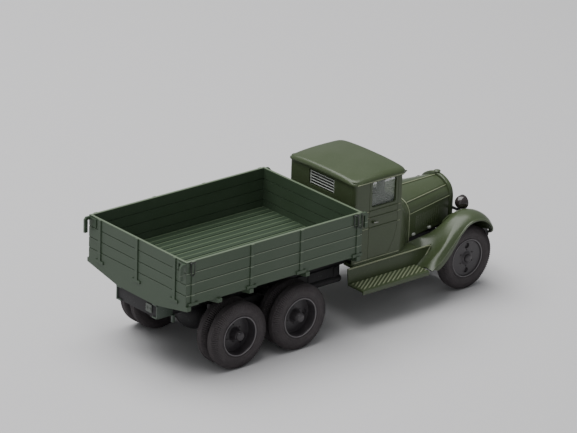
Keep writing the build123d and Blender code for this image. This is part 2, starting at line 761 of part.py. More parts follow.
windscreen_half_width = 14.4
windscreen_bottom_z = belt_z + 0.9
windscreen_top_z = cab_top_z - 1.2
rear_window_half_width = 6.3
rear_window_low_z = belt_z + 3.9
rear_window_high_z = cab_top_z - 1.8
window_corner = 0.5
with BuildPart() as cab_shell:
    with BuildSketch(Plane.XY.offset(cab_bottom_z)) as cab_plan:
        with Locations((cab_rear_x, 0)):
            Rectangle(cab_length, 2 * cab_half_width, align=(Align.MIN, Align.CENTER))
        fillet(cab_plan.vertices().group_by(Axis.X)[0], radius=cab_corner)
    extrude(amount=cab_top_z - cab_bottom_z)
    with BuildSketch(Plane.XY.offset(cab_floor_z + cab_wall)) as cab_room:
        with Locations((cab_rear_x + cab_wall, 0)):
            Rectangle(cab_length - 2 * cab_wall, 2 * (cab_half_width - cab_wall),
                      align=(Align.MIN, Align.CENTER))
        fillet(cab_room.vertices().group_by(Axis.X)[0], radius=cab_corner - cab_wall)
    extrude(amount=cab_top_z - cab_floor_z, mode=Mode.SUBTRACT)
    with Locations((cab_rear_x - 1, 0, cab_bottom_z - 1)):
        Box(cab_length + 2, 2 * (cab_half_width - cab_wall), cab_floor_z - cab_bottom_z + 1,
            align=(Align.MIN, Align.CENTER, Align.MIN), mode=Mode.SUBTRACT)
    with BuildSketch(Plane.XZ):
        add(door_outline(0))
    extrude(amount=cab_half_width + 1, both=True, mode=Mode.SUBTRACT)
    with BuildSketch(Plane.YZ.offset(cab_front_x - cab_wall)) as screen_hole:
        with Locations((0, windscreen_bottom_z)):
            Rectangle(2 * windscreen_half_width, windscreen_top_z - windscreen_bottom_z,
                      align=(Align.CENTER, Align.MIN))
        chamfer(screen_hole.vertices(), length=window_corner)
    extrude(amount=cab_wall, mode=Mode.SUBTRACT)
    with BuildSketch(Plane.YZ.offset(cab_rear_x)) as rear_hole:
        with Locations((0, rear_window_low_z)):
            Rectangle(2 * rear_window_half_width, rear_window_high_z - rear_window_low_z,
                      align=(Align.CENTER, Align.MIN))
    extrude(amount=cab_wall, mode=Mode.SUBTRACT)
    with Locations((cab_rear_x + cab_wall, 0, cab_floor_z)):
        Box(cab_length - 2 * cab_wall, 2 * (cab_half_width - cab_wall), cab_wall,
            align=(Align.MIN, Align.CENTER, Align.MIN))
save(cab_shell, "cab_shell")

# Doors with a window opening, belt mouldings and a handle
moulding_drops = (0.5, 2.8, 6.4)        # below the belt line
handle_radius = 0.4
handle_place = (door_rear_x + 1.9, belt_z - 4.5)
with BuildPart() as door_right:
    with BuildSketch(Plane.XZ.offset(cab_half_width - cab_wall)):
        add(door_outline(door_gap))
    extrude(amount=cab_wall)
    with BuildSketch(Plane.XZ.offset(cab_half_width - cab_wall)) as door_window:
        with Locations(((door_rear_x + door_front_x) / 2, window_sill_z)):
            Rectangle(door_front_x - door_rear_x - 2.2, window_top_z - window_sill_z,
                      align=(Align.CENTER, Align.MIN))
        chamfer(door_window.vertices(), length=window_corner)
    extrude(amount=cab_wall, mode=Mode.SUBTRACT)
    for moulding_drop in moulding_drops:
        with Locations(((door_rear_x + door_front_x) / 2, -cab_half_width,
                        belt_z - moulding_drop)):
            Box(door_front_x - door_rear_x - 2 * door_gap, 0.25, 0.35,
                align=(Align.CENTER, Align.MAX, Align.CENTER))
    with BuildSketch(Plane.XZ.offset(cab_half_width)):
        with Locations(handle_place):
            polygon(hand_hole_sides, handle_radius)
    extrude(amount=0.7)
save(door_right, "door_right")
save(mirrored(door_right), "door_left")

# Panes behind the openings
with BuildPart() as side_windows:
    with BuildSketch(Plane.XZ.offset(cab_half_width - cab_wall)):
        with Locations(((door_rear_x + door_front_x) / 2, window_sill_z - 0.4)):
            Rectangle(door_front_x - door_rear_x - 1.4, window_top_z - window_sill_z + 0.8,
                      align=(Align.CENTER, Align.MIN))
    extrude(amount=-pane_thickness)
    mirror(about=Plane.XZ)
save(side_windows, "side_windows")

with BuildPart() as windscreen:
    with BuildSketch(Plane.YZ.offset(cab_front_x - cab_wall)):
        with Locations((0, windscreen_bottom_z - 0.4)):
            Rectangle(2 * windscreen_half_width + 0.8,
                      windscreen_top_z - windscreen_bottom_z + 0.8,
                      align=(Align.CENTER, Align.MIN))
    extrude(amount=-pane_thickness)
save(windscreen, "windscreen")

# Five guard bars across the rear window
guard_bars = 5
with BuildPart() as rear_guard:
    guard_pitch = (rear_window_high_z - rear_window_low_z) / guard_bars
    with Locations((cab_rear_x + cab_wall / 2, 0,
                    (rear_window_low_z + rear_window_high_z) / 2)):
        for number in range(guard_bars):
            with Locations((0, 0, (number - (guard_bars - 1) / 2) * guard_pitch)):
                Box(0.5, 2 * (rear_window_half_width - 0.02), 0.5)
save(rear_guard, "rear_guard")

# Roof: crowned both ways, with a skirt round the cab and a small visor
roof_rear_x = cab_rear_x - roof_overhang
roof_front_x = cab_front_x + roof_overhang
roof_length = roof_front_x - roof_rear_x
roof_half_width = cab_half_width + roof_overhang
roof_top_z = cab_top_z + roof_crown
roof_corner = cab_corner + roof_overhang
cross_radius = (roof_half_width ** 2 + roof_side_crown ** 2) / (2 * roof_side_crown)
with BuildPart() as cab_roof:
    with BuildSketch(Plane.XY.offset(cab_top_z - roof_skirt)) as roof_plan:
        with Locations((roof_rear_x, 0)):
            Rectangle(roof_length, 2 * roof_half_width, align=(Align.MIN, Align.CENTER))
        fillet(roof_plan.vertices(), radius=roof_corner)
    extrude(amount=roof_skirt + roof_crown)
    with BuildSketch(Plane.YZ.offset(roof_rear_x - 1)):
        with BuildLine():
            Polyline((-roof_half_width - 1, roof_top_z + 1), (-roof_half_width - 1, 0),
                     (-roof_half_width, 0), (-roof_half_width, roof_top_z - roof_side_crown))
            ThreePointArc((-roof_half_width, roof_top_z - roof_side_crown), (0, roof_top_z),
                          (roof_half_width, roof_top_z - roof_side_crown))
            Polyline((roof_half_width, roof_top_z - roof_side_crown), (roof_half_width, 0),
                     (roof_half_width + 1, 0), (roof_half_width + 1, roof_top_z + 1),
                     (-roof_half_width - 1, roof_top_z + 1))
        make_face()
    extrude(amount=roof_length + 2, mode=Mode.SUBTRACT)
    chamfer(cab_roof.faces().sort_by(Axis.Z)[-1].edges(), length=0.7)
    with BuildSketch(Plane.XY.offset(cab_top_z - roof_skirt)) as skirt_room:
        with Locations((cab_rear_x - seat_gap, 0)):
            Rectangle(cab_length + 2 * seat_gap, 2 * (cab_half_width + seat_gap),
                      align=(Align.MIN, Align.CENTER))
        fillet(skirt_room.vertices().group_by(Axis.X)[0], radius=cab_corner)
    extrude(amount=roof_skirt, mode=Mode.SUBTRACT)
    with BuildSketch(Plane.XZ):
        with BuildLine():
            Polyline((roof_front_x - 0.1, cab_top_z + 0.2), (roof_front_x + 2.8, cab_top_z - 0.9),
                     (roof_front_x + 2.8, cab_top_z - 1.3), (roof_front_x - 0.1, cab_top_z - 0.4),
                     close=True)
        make_face()
    extrude(amount=windscreen_half_width + 0.8, both=True)
save(cab_roof, "cab_roof")

# Cab inside: bench seat, dashboard, steering wheel on its column
cab_deck_z = cab_floor_z + cab_wall
seat_half_width = cab_half_width - cab_wall - 1.0
with BuildPart() as seat:
    with BuildSketch(Plane.XZ):
        with BuildLine():
            Polyline(
                (cab_rear_x + cab_wall + 0.3, cab_deck_z),
                (cab_rear_x + 11.0, cab_deck_z), (cab_rear_x + 11.6, cab_deck_z + 7.6),
                (cab_rear_x + 4.6, cab_deck_z + 6.6), (cab_rear_x + 2.6, cab_deck_z + 15.0),
                (cab_rear_x + cab_wall + 0.3, cab_deck_z + 15.0), close=True,
            )
        make_face()
    extrude(amount=seat_half_width, both=True)
    chamfer(seat.edges().filter_by(Axis.Y).sort_by(Axis.Z)[2:], length=0.5)
save(seat, "seat")

with BuildPart() as dashboard:
    with Locations((cab_front_x - cab_wall, 0, windscreen_bottom_z - 1.0)):
        Box(1.6, 2 * seat_half_width, 3.6, align=(Align.MAX, Align.CENTER, Align.MAX))
save(dashboard, "dashboard")

steering_y = 7.6
wheel_tilt = 35
column_foot = (cab_front_x - cab_wall - 1.2, steering_y, cab_deck_z)
column_axis = Vector(-sin(radians(wheel_tilt)), 0, cos(radians(wheel_tilt)))
column_length = 15.0
steering_radius = 4.4
column_plane = Plane(origin=column_foot, x_dir=(0, 1, 0), z_dir=column_axis)
with BuildPart() as steering_wheel:
    with BuildSketch(column_plane.offset(0.4)):
        polygon(hand_hole_sides, 0.5)
    extrude(amount=column_length)
    with BuildSketch(column_plane.offset(column_length)):
        RegularPolygon(steering_radius, bowl_sides)
        RegularPolygon(steering_radius - 0.6, bowl_sides, mode=Mode.SUBTRACT)
        with PolarLocations(0, 4):
            Rectangle(steering_radius - 0.3, 0.5, align=(Align.MIN, Align.CENTER))
        polygon(hand_hole_sides, 0.9)
    extrude(amount=0.6)
save(steering_wheel, "steering_wheel")


# Cowl and hood: shells lofted between two arched sections
shoulder_bulge = 0.4


def arch_outline(x, section, bottom_z):
    """An arch across at x: upright sides, bent shoulders and a top with a middle ridge."""
    half_width, side_z, shoulder_y, shoulder_z, top_z = section
    bend_y = (half_width + shoulder_y) / 2 + shoulder_bulge
    bend_z = (side_z + shoulder_z) / 2 + shoulder_bulge
    half = [(half_width, bottom_z), (half_width, side_z), (bend_y, bend_z),
            (shoulder_y, shoulder_z)]
    return [(x, -y, z) for y, z in half] + [(x, 0, top_z)] + [(x, y, z) for y, z in half[::-1]]


# Section: half width, top of the upright side, shoulder y and z, top z
cab_end = (cab_half_width - 0.1, belt_z - 3.2, cab_half_width - 3.4, belt_z - 0.2, belt_z + 0.3)
hood_rear = (hood_rear_half_width, 29.6, hood_rear_half_width - 2.0, 32.9, hood_top_z)
hood_front = (hood_front_half_width, 30.2, hood_front_half_width - 2.0, 33.2, hood_top_z + 0.2)


def arched_shell(rear_x, rear, rear_bottom_z, end_x, end, end_bottom_z):
    """A sheet between two arches, open below and at both ends."""
    with BuildPart() as shell:
        add(skin([arch_outline(rear_x, rear, rear_bottom_z),
                  arch_outline(end_x, end, end_bottom_z)]))
        add(skin([arch_outline(rear_x, inset(rear), rear_bottom_z),
                  arch_outline(end_x, inset(end), end_bottom_z)]), mode=Mode.SUBTRACT)
    return shell.part


def inset(section):
    """The same arch, one sheet thickness further in."""
    half_width, side_z, shoulder_y, shoulder_z, top_z = section
    return (half_width - hood_wall, side_z, shoulder_y - hood_wall / 2,
            shoulder_z - hood_wall, top_z - hood_wall)


cowl_bottom_z = hood_bottom_z - 1.3
louvre_start = 3.9          # first louvre ahead of the hood's rear edge
louvre_z = hood_bottom_z + 4.4
with BuildPart() as cowl:
    add(arched_shell(cab_front_x, cab_end, cab_bottom_z, hood_rear_x, hood_rear, cowl_bottom_z))
save(cowl, "cowl")

with BuildPart() as hood:
    add(arched_shell(hood_rear_x + seat_gap, hood_rear, hood_bottom_z,
                     hood_front_x, hood_front, hood_bottom_z))
    for side in (-1, 1):
        side_line = Vector(-hood_length, side * (hood_rear_half_width - hood_front_half_width), 0)
        outward = Vector(0, 0, side).cross(side_line).normalized()
        with BuildSketch(Plane(origin=(hood_rear_x, side * hood_rear_half_width, louvre_z),
                               x_dir=-side_line.normalized(), z_dir=outward)):
            with Locations((louvre_start + louvre_pitch * (louvre_count - 1) / 2, 0)):
                with GridLocations(louvre_pitch, 0, louvre_count, 1):
                    Rectangle(louvre_width, louvre_height)
        extrude(amount=louvre_depth)
save(hood, "hood")

# Radiator shell with an arched top, core with upright shutters
shell_half_width = hood_front_half_width + 0.35
shell_bottom_z = axle_z + 6.6
shell_top_z = hood_top_z + 1.1


# Arch of the shell: in from its side and down from its top
shell_arch = [(0, 6.0), (0.45, 4.0), (1.6, 2.3), (3.8, 0.9), (5.8, 0.25)]


def shell_outline(margin):
    """Front view of the shell, or of an opening that is a margin smaller all round."""
    half = shell_half_width - margin
    low = shell_bottom_z + margin
    top = shell_top_z - margin
    size = half / shell_half_width
    arch = [(half - size * inward, top - size * drop) for inward, drop in shell_arch]
    with BuildSketch() as outline:
        with BuildLine():
            Polyline((0, low), (half, low), *arch, (0, top), close=True)
        make_face()
        mirror(about=Plane.YZ)
    return outline.sketch


with BuildPart() as radiator_shell:
    with BuildSketch(Plane.YZ.offset(hood_front_x + seat_gap)):
        add(shell_outline(0))
    extrude(amount=radiator_depth - seat_gap)
    with BuildSketch(Plane.YZ.offset(hood_front_x)):
        add(shell_outline(1.1))
    extrude(amount=radiator_depth, mode=Mode.SUBTRACT)
    with BuildSketch(Plane.XY.offset(shell_top_z - 0.3)):
        with Locations((hood_front_x + radiator_depth / 2, 0)):
            polygon(hub_sides, 0.75)
    extrude(amount=0.9)
save(radiator_shell, "radiator_shell")

core_slats = 11
with BuildPart() as radiator_core:
    with BuildSketch(Plane.YZ.offset(hood_front_x + 0.3)):
        add(shell_outline(1.1 + seat_gap))
    extrude(amount=0.9)
    slat_pitch = 2 * (shell_half_width - 1.4) / core_slats
    with Locations((hood_front_x + 1.2, 0, shell_bottom_z + 1.6)):
        with GridLocations(0, slat_pitch, 1, core_slats):
            Box(0.4, 0.5, 11.0, align=(Align.MIN, Align.CENTER, Align.MIN))
save(radiator_core, "radiator_core")

# Headlamps, their lenses, and the bar that carries them
lamp_x = front_x + 1.0
lamp_sides = 20
lamp_plane = Plane(origin=(lamp_x, -lamp_y, lamp_z), x_dir=(0, 1, 0), z_dir=(1, 0, 0))
rim_reach = lamp_length - 0.7
reflector_reach = lamp_length - 1.9
with BuildPart() as headlamps:
    add(turned(lamp_plane, lamp_sides, [
        (0, lamp_radius * 0.35), (0.9, lamp_radius * 0.77), (2.0, lamp_radius * 0.94),
        (rim_reach - 0.5, lamp_radius), (rim_reach, lamp_radius),
    ]))
    add(turned(lamp_plane, lamp_sides, [(reflector_reach, 0.9),
                                        (rim_reach, lamp_radius - 0.3)]), mode=Mode.SUBTRACT)
    mirror(about=Plane.XZ)
save(headlamps, "headlamps")

with BuildPart() as headlamp_lenses:
    add(turned(lamp_plane, lamp_sides, [
        (rim_reach + seat_gap, lamp_radius - 0.15), (lamp_length - 0.35, lamp_radius - 0.15),
        (lamp_length, lamp_radius * 0.3),
    ]))
    mirror(about=Plane.XZ)
save(headlamp_lenses, "headlamp_lenses")

bar_radius = 0.5
bar_x = radiator_front_x + bar_radius + 0.1
bar_z = 24.9
post_y = fender_inner_y - 0.6
with BuildPart() as lamp_bar:
    with BuildSketch(Plane.XZ):
        with Locations((bar_x, bar_z)):
            polygon(hub_sides, bar_radius)
    extrude(amount=post_y + 0.4, both=True)
    for side in (-1, 1):
        with Locations((bar_x, side * post_y, bar_z)):
            Box(0.9, 0.8, lamp_z - lamp_radius - bar_z,
                align=(Align.CENTER, Align.CENTER, Align.MIN))
save(lamp_bar, "lamp_bar")

# Front fenders: a domed sheet swept over the wheel and straight down to the board, with
# an outer side that follows the wheel and an inner apron beside the frame
arch_x = front_x + 0.4
arch_z = 17.1
lip_radius = 8.8
crown_radius = 10.7
tip_angle = 20
lip_slope = 48
crown_slope = 36.5
toe_radius = 6.9
toe_z = board_top_z - 0.9
dome_peak_y = 18.0
outer_drop = 1.9            # crown to the outer edge
inner_drop = 3.0            # crown to the inner edge
crown_leave_angle = 90 + crown_slope
lip_leave_angle = 90 + lip_slope


def arch_point(radius, angle):
    return (arch_x + radius * cos(radians(angle)), arch_z + radius * sin(radians(angle)))


crown_leave = arch_point(crown_radius, crown_leave_angle)
crown_foot = (crown_leave[0] - (crown_leave[1] - board_top_z) / tan(radians(crown_slope)),
              board_top_z)
arch_steps = 6
dome_angles = [tip_angle + (crown_leave_angle - tip_angle) * step / arch_steps
               for step in range(arch_steps + 1)]
# Wall thickness ends here, and the dome's outer edge stays on the side from here on
wall_overlap = 0.15
edge_leave_x = arch_point(lip_radius, crown_leave_angle)[0]
edge_foot_x = crown_foot[0] - outer_drop * cos(radians(crown_leave_angle))


def dome_points(outer_y):
    """Section of the dome: distance from the middle and drop, over it and back under it."""
    over = [(dome_peak_y - share * (dome_peak_y - fender_inner_y), inner_drop * share ** 2)
            for share in (1, 0.5, 0)]
    over += [(dome_peak_y + share * (outer_y - dome_peak_y), outer_drop * share ** 2)
             for share in (0.5, 1)]
    under = [(dome_peak_y + share * (outer_y - fender_sheet - dome_peak_y),
              fender_sheet + (outer_drop - fender_sheet) * share ** 2) for share in (1, 0.5, 0)]
    under += [(dome_peak_y - share * (dome_peak_y - fender_inner_y - fender_sheet),
               fender_sheet + (inner_drop - fender_sheet) * share ** 2) for share in (0.5, 1)]
    return over + under


def dome_station(crown, angle, outer_y):
    """The dome's section where the crown line passes a point, square to the crown line."""
    return [(crown[0] - drop * cos(radians(angle)), -y, crown[1] - drop * sin(radians(angle)))
            for y, drop in dome_points(outer_y)]


def side_outline():
    """Outer side of a fender, from just under the crown down to the lip."""
    top = crown_radius - outer_drop + wall_overlap
    slope = radians(lip_slope)
    lip = [arch_point(lip_radius, angle) for angle in (*dome_angles, lip_leave_angle)]
    fall = (lip[-1][1] - toe_z - (1 - cos(slope)) * toe_radius) / sin(slope)
    toe_x = lip[-1][0] - fall * cos(slope) - toe_radius * sin(slope)
    toe = [(toe_x + toe_radius * sin(slope * share),
            toe_z + toe_radius * (1 - cos(slope * share))) for share in (1, 0.75, 0.5, 0.25, 0)]
    top_edge = [arch_point(top, angle) for angle in reversed(dome_angles)]
    foot_x = top_edge[0][0] - (top_edge[0][1] - board_top_z) / tan(radians(crown_slope))
    with BuildSketch() as outline:
        with BuildLine():
            Polyline(*lip, *toe, (board_front_x, toe_z), (board_front_x, board_top_z),
                     (foot_x, board_top_z), *top_edge, close=True)
        make_face()
    return outline.sketch


side_plan = [(arch_x + lip_radius + 1, -fender_outer_y), (edge_leave_x, -fender_outer_y),
             (edge_foot_x, -board_outer_y), (board_front_x, -board_outer_y)]
apron_low_z = 19.0
apron_arc = crown_radius - inner_drop + 0.1
apron_top = [arch_point(apron_arc, angle) for angle in reversed(dome_angles)]
with BuildPart() as fender_side:
    with BuildSketch(Plane.XZ.offset(fender_outer_y - 1)):
        add(side_outline())
    extrude(amount=board_outer_y - fender_outer_y + 2)
    with BuildSketch(Plane.XY):
        with BuildLine():
            Polyline(*side_plan, *[(x, y + fender_sheet) for x, y in reversed(side_plan)],
                     close=True)
        make_face()
    extrude(amount=crown_leave[1] + crown_radius, mode=Mode.INTERSECT)

with BuildPart() as fender_right:
    stations = [dome_station(arch_point(crown_radius, angle), angle, fender_outer_y)
                for angle in dome_angles]
    add(skin([*stations, dome_station(crown_foot, crown_leave_angle, board_outer_y)]))
    add(fender_side.part)
    with BuildSketch(Plane.XZ.offset(fender_inner_y)):
        with BuildLine():
            Polyline((arch_x + 5, apron_low_z), (arch_x - 5, apron_low_z),
                     (arch_x - 15, board_top_z), (hood_rear_x + 0.3, board_top_z),
                     (hood_rear_x + 0.3, hood_bottom_z - 0.2),
                     (arch_x - 7, hood_bottom_z - 0.2), *apron_top, close=True)
        make_face()
    extrude(amount=fender_sheet)
save(fender_right, "fender_right")
save(mirrored(fender_right), "fender_left")

# Running boards with slanting ribs, an edge lip, an apron and two brackets
rib_count = 22
rib_angle = 35
board_length = board_front_x - board_rear_x
board_width = board_outer_y - apron_outer_y
# The apron's front end follows the slope of the fender, just clear of it
apron_toe_x = crown_foot[0] - 0.2
apron_tip_x = apron_toe_x + (apron_top_z - board_top_z) / tan(radians(crown_slope))
board_middle = ((board_rear_x + board_front_x) / 2, -(board_outer_y + apron_outer_y) / 2)
with BuildPart() as running_board_right:
    with Locations((*board_middle, board_top_z)):
        Box(board_length, board_width, board_sheet,
            align=(Align.CENTER, Align.CENTER, Align.MAX))
    with BuildSketch(Plane.XY.offset(board_top_z)):
        with Locations(board_middle):
            with GridLocations(board_length / rib_count, 0, rib_count, 1):
                Rectangle(0.5, board_width * 1.4, rotation=-rib_angle)
            Rectangle(board_length - 1.2, board_width - 1.0, mode=Mode.INTERSECT)
    extrude(amount=0.25)
    with Locations((board_middle[0], -board_outer_y, board_top_z)):
        Box(board_length, 0.6, 1.5, align=(Align.CENTER, Align.MIN, Align.MAX))
    with BuildSketch(Plane.XZ.offset(apron_outer_y - board_sheet)):
        with BuildLine():
            Polyline((board_rear_x, board_top_z - board_sheet), (board_rear_x, apron_top_z),
                     (apron_tip_x, apron_top_z), (apron_toe_x, board_top_z),
                     (board_front_x, board_top_z), (board_front_x, board_top_z - board_sheet),
                     close=True)
        make_face()
    extrude(amount=board_sheet)
    for bracket_x in (cab_rear_x + 6.0, cab_front_x - 1.0):
        with BuildSketch(Plane.YZ.offset(bracket_x)):
            with BuildLine():
                Polyline(
                    (-board_outer_y + 1.2, board_top_z - board_sheet),
                    (-rail_outer_y, board_top_z - board_sheet),
                    (-rail_outer_y, rail_under(bracket_x + 1.2)),
                    (-rail_outer_y + 1.2, rail_under(bracket_x + 1.2)),
                    (-rail_outer_y + 1.2, board_top_z - 1.9),
                    (-board_outer_y + 1.2, board_top_z - 1.4), close=True,
                )
            make_face()
        extrude(amount=1.2)
save(running_board_right, "running_board_right")
save(mirrored(running_board_right), "running_board_left")
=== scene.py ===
import json
import math

import bmesh
import bpy
import numpy as np
from mathutils import Matrix, Vector


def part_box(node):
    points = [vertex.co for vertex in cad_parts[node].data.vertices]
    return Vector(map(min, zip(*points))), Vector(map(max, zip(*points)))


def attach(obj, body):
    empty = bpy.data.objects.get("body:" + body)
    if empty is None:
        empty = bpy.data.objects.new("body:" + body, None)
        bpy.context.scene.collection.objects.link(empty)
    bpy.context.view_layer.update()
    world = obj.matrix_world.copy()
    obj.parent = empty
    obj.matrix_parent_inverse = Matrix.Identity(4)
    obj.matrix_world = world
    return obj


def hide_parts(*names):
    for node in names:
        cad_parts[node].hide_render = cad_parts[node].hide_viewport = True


# Scale model of a three-axle army truck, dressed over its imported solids.
# Lengths here are millimetres and become metres when a mesh is made.
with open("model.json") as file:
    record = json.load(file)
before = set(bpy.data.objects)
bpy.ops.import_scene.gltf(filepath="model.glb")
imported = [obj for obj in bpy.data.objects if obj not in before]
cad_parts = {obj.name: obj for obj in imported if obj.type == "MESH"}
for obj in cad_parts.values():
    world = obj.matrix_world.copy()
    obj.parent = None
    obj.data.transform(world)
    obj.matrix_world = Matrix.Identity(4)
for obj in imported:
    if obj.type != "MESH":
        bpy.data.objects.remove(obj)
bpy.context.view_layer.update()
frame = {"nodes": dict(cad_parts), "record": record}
mm = 0.001


def middleOf(node):  # the middle of a node's box
    low, high = [np.array(corner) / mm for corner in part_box(node)]
    return (low + high) / 2


rearX, middleX, frontX = [middleOf(f"{axle}_rod")[0] for axle in ("rear", "middle", "front")]
bogieX = (rearX + middleX) / 2
axleZ = middleOf("rear_rod")[2]
print("frame loaded, bogie at", round(bogieX, 3))


def placed(name, data):  # a new object in the scene
    made = bpy.data.objects.new(name, data)
    bpy.context.scene.collection.objects.link(made)
    return made


# Camera, from the fit to the photograph: its place counts from the middle of the bogie
view = dict(place=(-700.1, -844.8, 482.9), azimuth=-40.718, elevation=21.889, roll=1.861,
            lens=229.45, sensor=36.0, clip=(0.05, 20))


def makeCamera():
    # back points from the truck to the camera, right lies level, and the roll turns right and up
    azimuth, elevation, roll = [math.radians(view[key]) for key in ("azimuth", "elevation", "roll")]
    back = Vector((math.sin(azimuth) * math.cos(elevation),
                   -math.cos(azimuth) * math.cos(elevation), math.sin(elevation)))
    right = Vector((math.cos(azimuth), math.sin(azimuth), 0))
    up = back.cross(right)
    axes = Matrix((math.cos(roll) * right + math.sin(roll) * up,
                   math.cos(roll) * up - math.sin(roll) * right, back)).transposed().to_4x4()
    axes.translation = (Vector(view["place"]) + Vector((bogieX, 0, 0))) * mm
    data = bpy.data.cameras.new("studioCamera")
    data.lens, data.sensor_width = view["lens"], view["sensor"]
    data.clip_start, data.clip_end = view["clip"]
    camera = bpy.context.scene.camera = placed("studioCamera", data)
    camera.matrix_world = axes


makeCamera()
print("camera placed")


# Shader maths: a Wire is a value on its way through a material
class Wire:
    def __init__(self, paint, socket):
        self.paint, self.socket = paint, socket

    def calc(self, operation, *values, clamp=False):
        return self.paint.node("ShaderNodeMath", dict(operation=operation, use_clamp=clamp), values)

    def operator(operation):  # an operator and its reflected form
        return (lambda self, other: self.calc(operation, self, other),
                lambda self, other: self.calc(operation, other, self))

    __add__, __radd__ = operator("ADD")
    __sub__, __rsub__ = operator("SUBTRACT")
    __mul__, __rmul__ = operator("MULTIPLY")
    __truediv__, __rtruediv__ = operator("DIVIDE")

    def clamped(self):
        return self.calc("ADD", self, 0.0, clamp=True)

    def size(self):
        return self.calc("ABSOLUTE", self)

    def wave(self, pitch):  # saw tooth from 0 to 1 over each pitch
        return self.calc("FRACT", self / pitch)

    def above(self, limit, soft):  # 0 under the limit, 1 over it, with a soft step
        return ((self - limit) / soft + 0.5).clamped()

    def near(self, centre, half, soft):  # 1 within half of the centre, fading to 0
        return ((half - (self - centre).size()) / soft + 0.5).clamped()


# A material in the making: every node comes from one method
class Paint:
    def __init__(self, name):
        self.material = bpy.data.materials.new(name)
        self.material.use_nodes = True
        self.tree = self.material.node_tree
        self.tree.nodes.clear()
        self.place = self.node("ShaderNodeTexCoord", {}, {}, "Object")
        split = self.node("ShaderNodeSeparateXYZ", {}, [self.place]).socket.node
        self.x, self.y, self.z = [Wire(self, socket) for socket in split.outputs]

    def node(self, kind, settings, inputs, output=0):
        made = self.tree.nodes.new(kind)
        for key, value in settings.items():
            setattr(made, key, value)
        for key, value in inputs.items() if isinstance(inputs, dict) else enumerate(inputs):
            socket = made.inputs[key]
            if isinstance(value, Wire):
                self.tree.links.new(value.socket, socket)
            else:
                socket.default_value = (*value, 1) if socket.type == "RGBA" else value
        return Wire(self, made.outputs[output]) if made.outputs else None

    def noise(self, scale, detail, rough, stretch=None):
        where = self.place
        if stretch:
            where = self.node("ShaderNodeMapping", {}, {"Vector": where, "Scale": stretch})
        return self.node("ShaderNodeTexNoise", {}, {"Vector": where, "Scale": scale,
                                                    "Detail": detail, "Roughness": rough})

    def mix(self, share, first, second):  # sockets by number: the factor and the two colours
        return self.node("ShaderNodeMix", dict(data_type="RGBA"),
                         {0: share, 6: first, 7: second}, 2)

    def bump(self, height, strength, distance):
        return self.node("ShaderNodeBump", {}, {"Strength": strength, "Distance": distance * mm,
                                                "Height": height})

    def finish(self, **sockets):
        names = dict(colour="Base Color", roughness="Roughness", metallic="Metallic",
                     alpha="Alpha", normal="Normal", specular="Specular IOR Level")
        shader = self.node("ShaderNodeBsdfPrincipled", {},
                           {names[key]: value for key, value in sockets.items()})
        self.node("ShaderNodeOutputMaterial", {}, {"Surface": shader})
        return self.material


def tone(red, green, blue):  # display colour 0..255 to linear
    return tuple(((c / 255 + 0.055) / 1.055) ** 2.4 if c > 10 else c / 255 / 12.92
                 for c in (red, green, blue))


def blend(first, second, share):
    return tuple(a * (1 - share) + b * share for a, b in zip(first, second))


white, black = (1.0, 1.0, 1.0), (0.0, 0.0, 0.0)


# Sprayed paint or moulded plastic: a broad mottle, a darker grain, dust specks and orange peel
def sprayed(name, colour, rough=0.42, mottle=0.10, peel=0.05, specular=0.45, paintedLight=None):
    paint = Paint(name)
    broad = paint.noise(60, 3, 0.55)
    fine = paint.noise(900, 2, 0.6)
    specks = paint.noise(2600, 1, 0.4).above(0.72, 0.05)
    base = paint.mix(broad.above(0.5, 0.5) * mottle * 4, colour, blend(colour, white, 0.045))
    base = paint.mix((1 - fine) * mottle, base, blend(colour, black, 0.5))
    base = paint.mix(specks * 0.16, base, blend(colour, white, 0.30))
    # painted highlights and painted shade, where a function for them is given
    if paintedLight:
        base = paintedLight(paint, base)
    return paint.finish(colour=base, roughness=rough - 0.06 + broad * 0.10 + specks * 0.12,
                        specular=specular, normal=paint.bump(fine + broad * 0.6, peel, 0.05))


# Tyre rubber: a fine grain, and grey dust in patches
def rubber(name, colour):
    paint = Paint(name)
    grain = paint.noise(2200, 3, 0.7)
    broad = paint.noise(140, 3, 0.5)
    dust = paint.noise(420, 4, 0.7).above(0.56, 0.25)
    base = paint.mix(broad, colour, blend(colour, white, 0.03))
    base = paint.mix(dust * 0.22, base, tone(96, 92, 90))
    return paint.finish(colour=base, roughness=0.62 + grain * 0.2, specular=0.35,
                        normal=paint.bump(grain + broad, 0.25, 0.04))


# Bare metal, brushed across
def metal(name, colour, rough=0.3):
    paint = Paint(name)
    brushed = paint.noise(700, 3, 0.6, stretch=(1, 0.06, 1))
    base = paint.mix(brushed, blend(colour, black, 0.3), colour)
    return paint.finish(colour=base, metallic=1.0, roughness=rough + brushed * 0.15,
                        normal=paint.bump(brushed, 0.1, 0.02))


# Clear moulded plastic: a faint haze and upright scuffs
def clearPlastic(name, colour, alpha, rough=0.12):
    paint = Paint(name)
    haze = paint.noise(120, 3, 0.6)
    scuffs = paint.noise(900, 2, 0.5, stretch=(1, 1, 0.15)).above(0.66, 0.1)
    return paint.finish(colour=paint.mix(scuffs * 0.3, colour, white),
                        roughness=rough + haze * 0.1, alpha=(alpha - 0.04) + haze * 0.08,
                        specular=0.6, normal=paint.bump(haze, 0.05, 0.03))


# Where the bed's planks meet and where painted highlights and painted shade lie, in metres as
# Object coordinates are: the outer faces of sides and tailgate, the lower edges of the grooves,
# the top rims, and the floor with its seams
bed = dict(side=0.02485, tail=-0.0691, edges=(0.03093, 0.03468, 0.03843), edgeHalf=0.00009,
           edgeSoft=0.00012, rim=0.04225, floor=0.0288, floorSide=0.0242, floorRear=-0.0681,
           floorFront=0.0025, seamPitch=0.002685, step=0.0001)


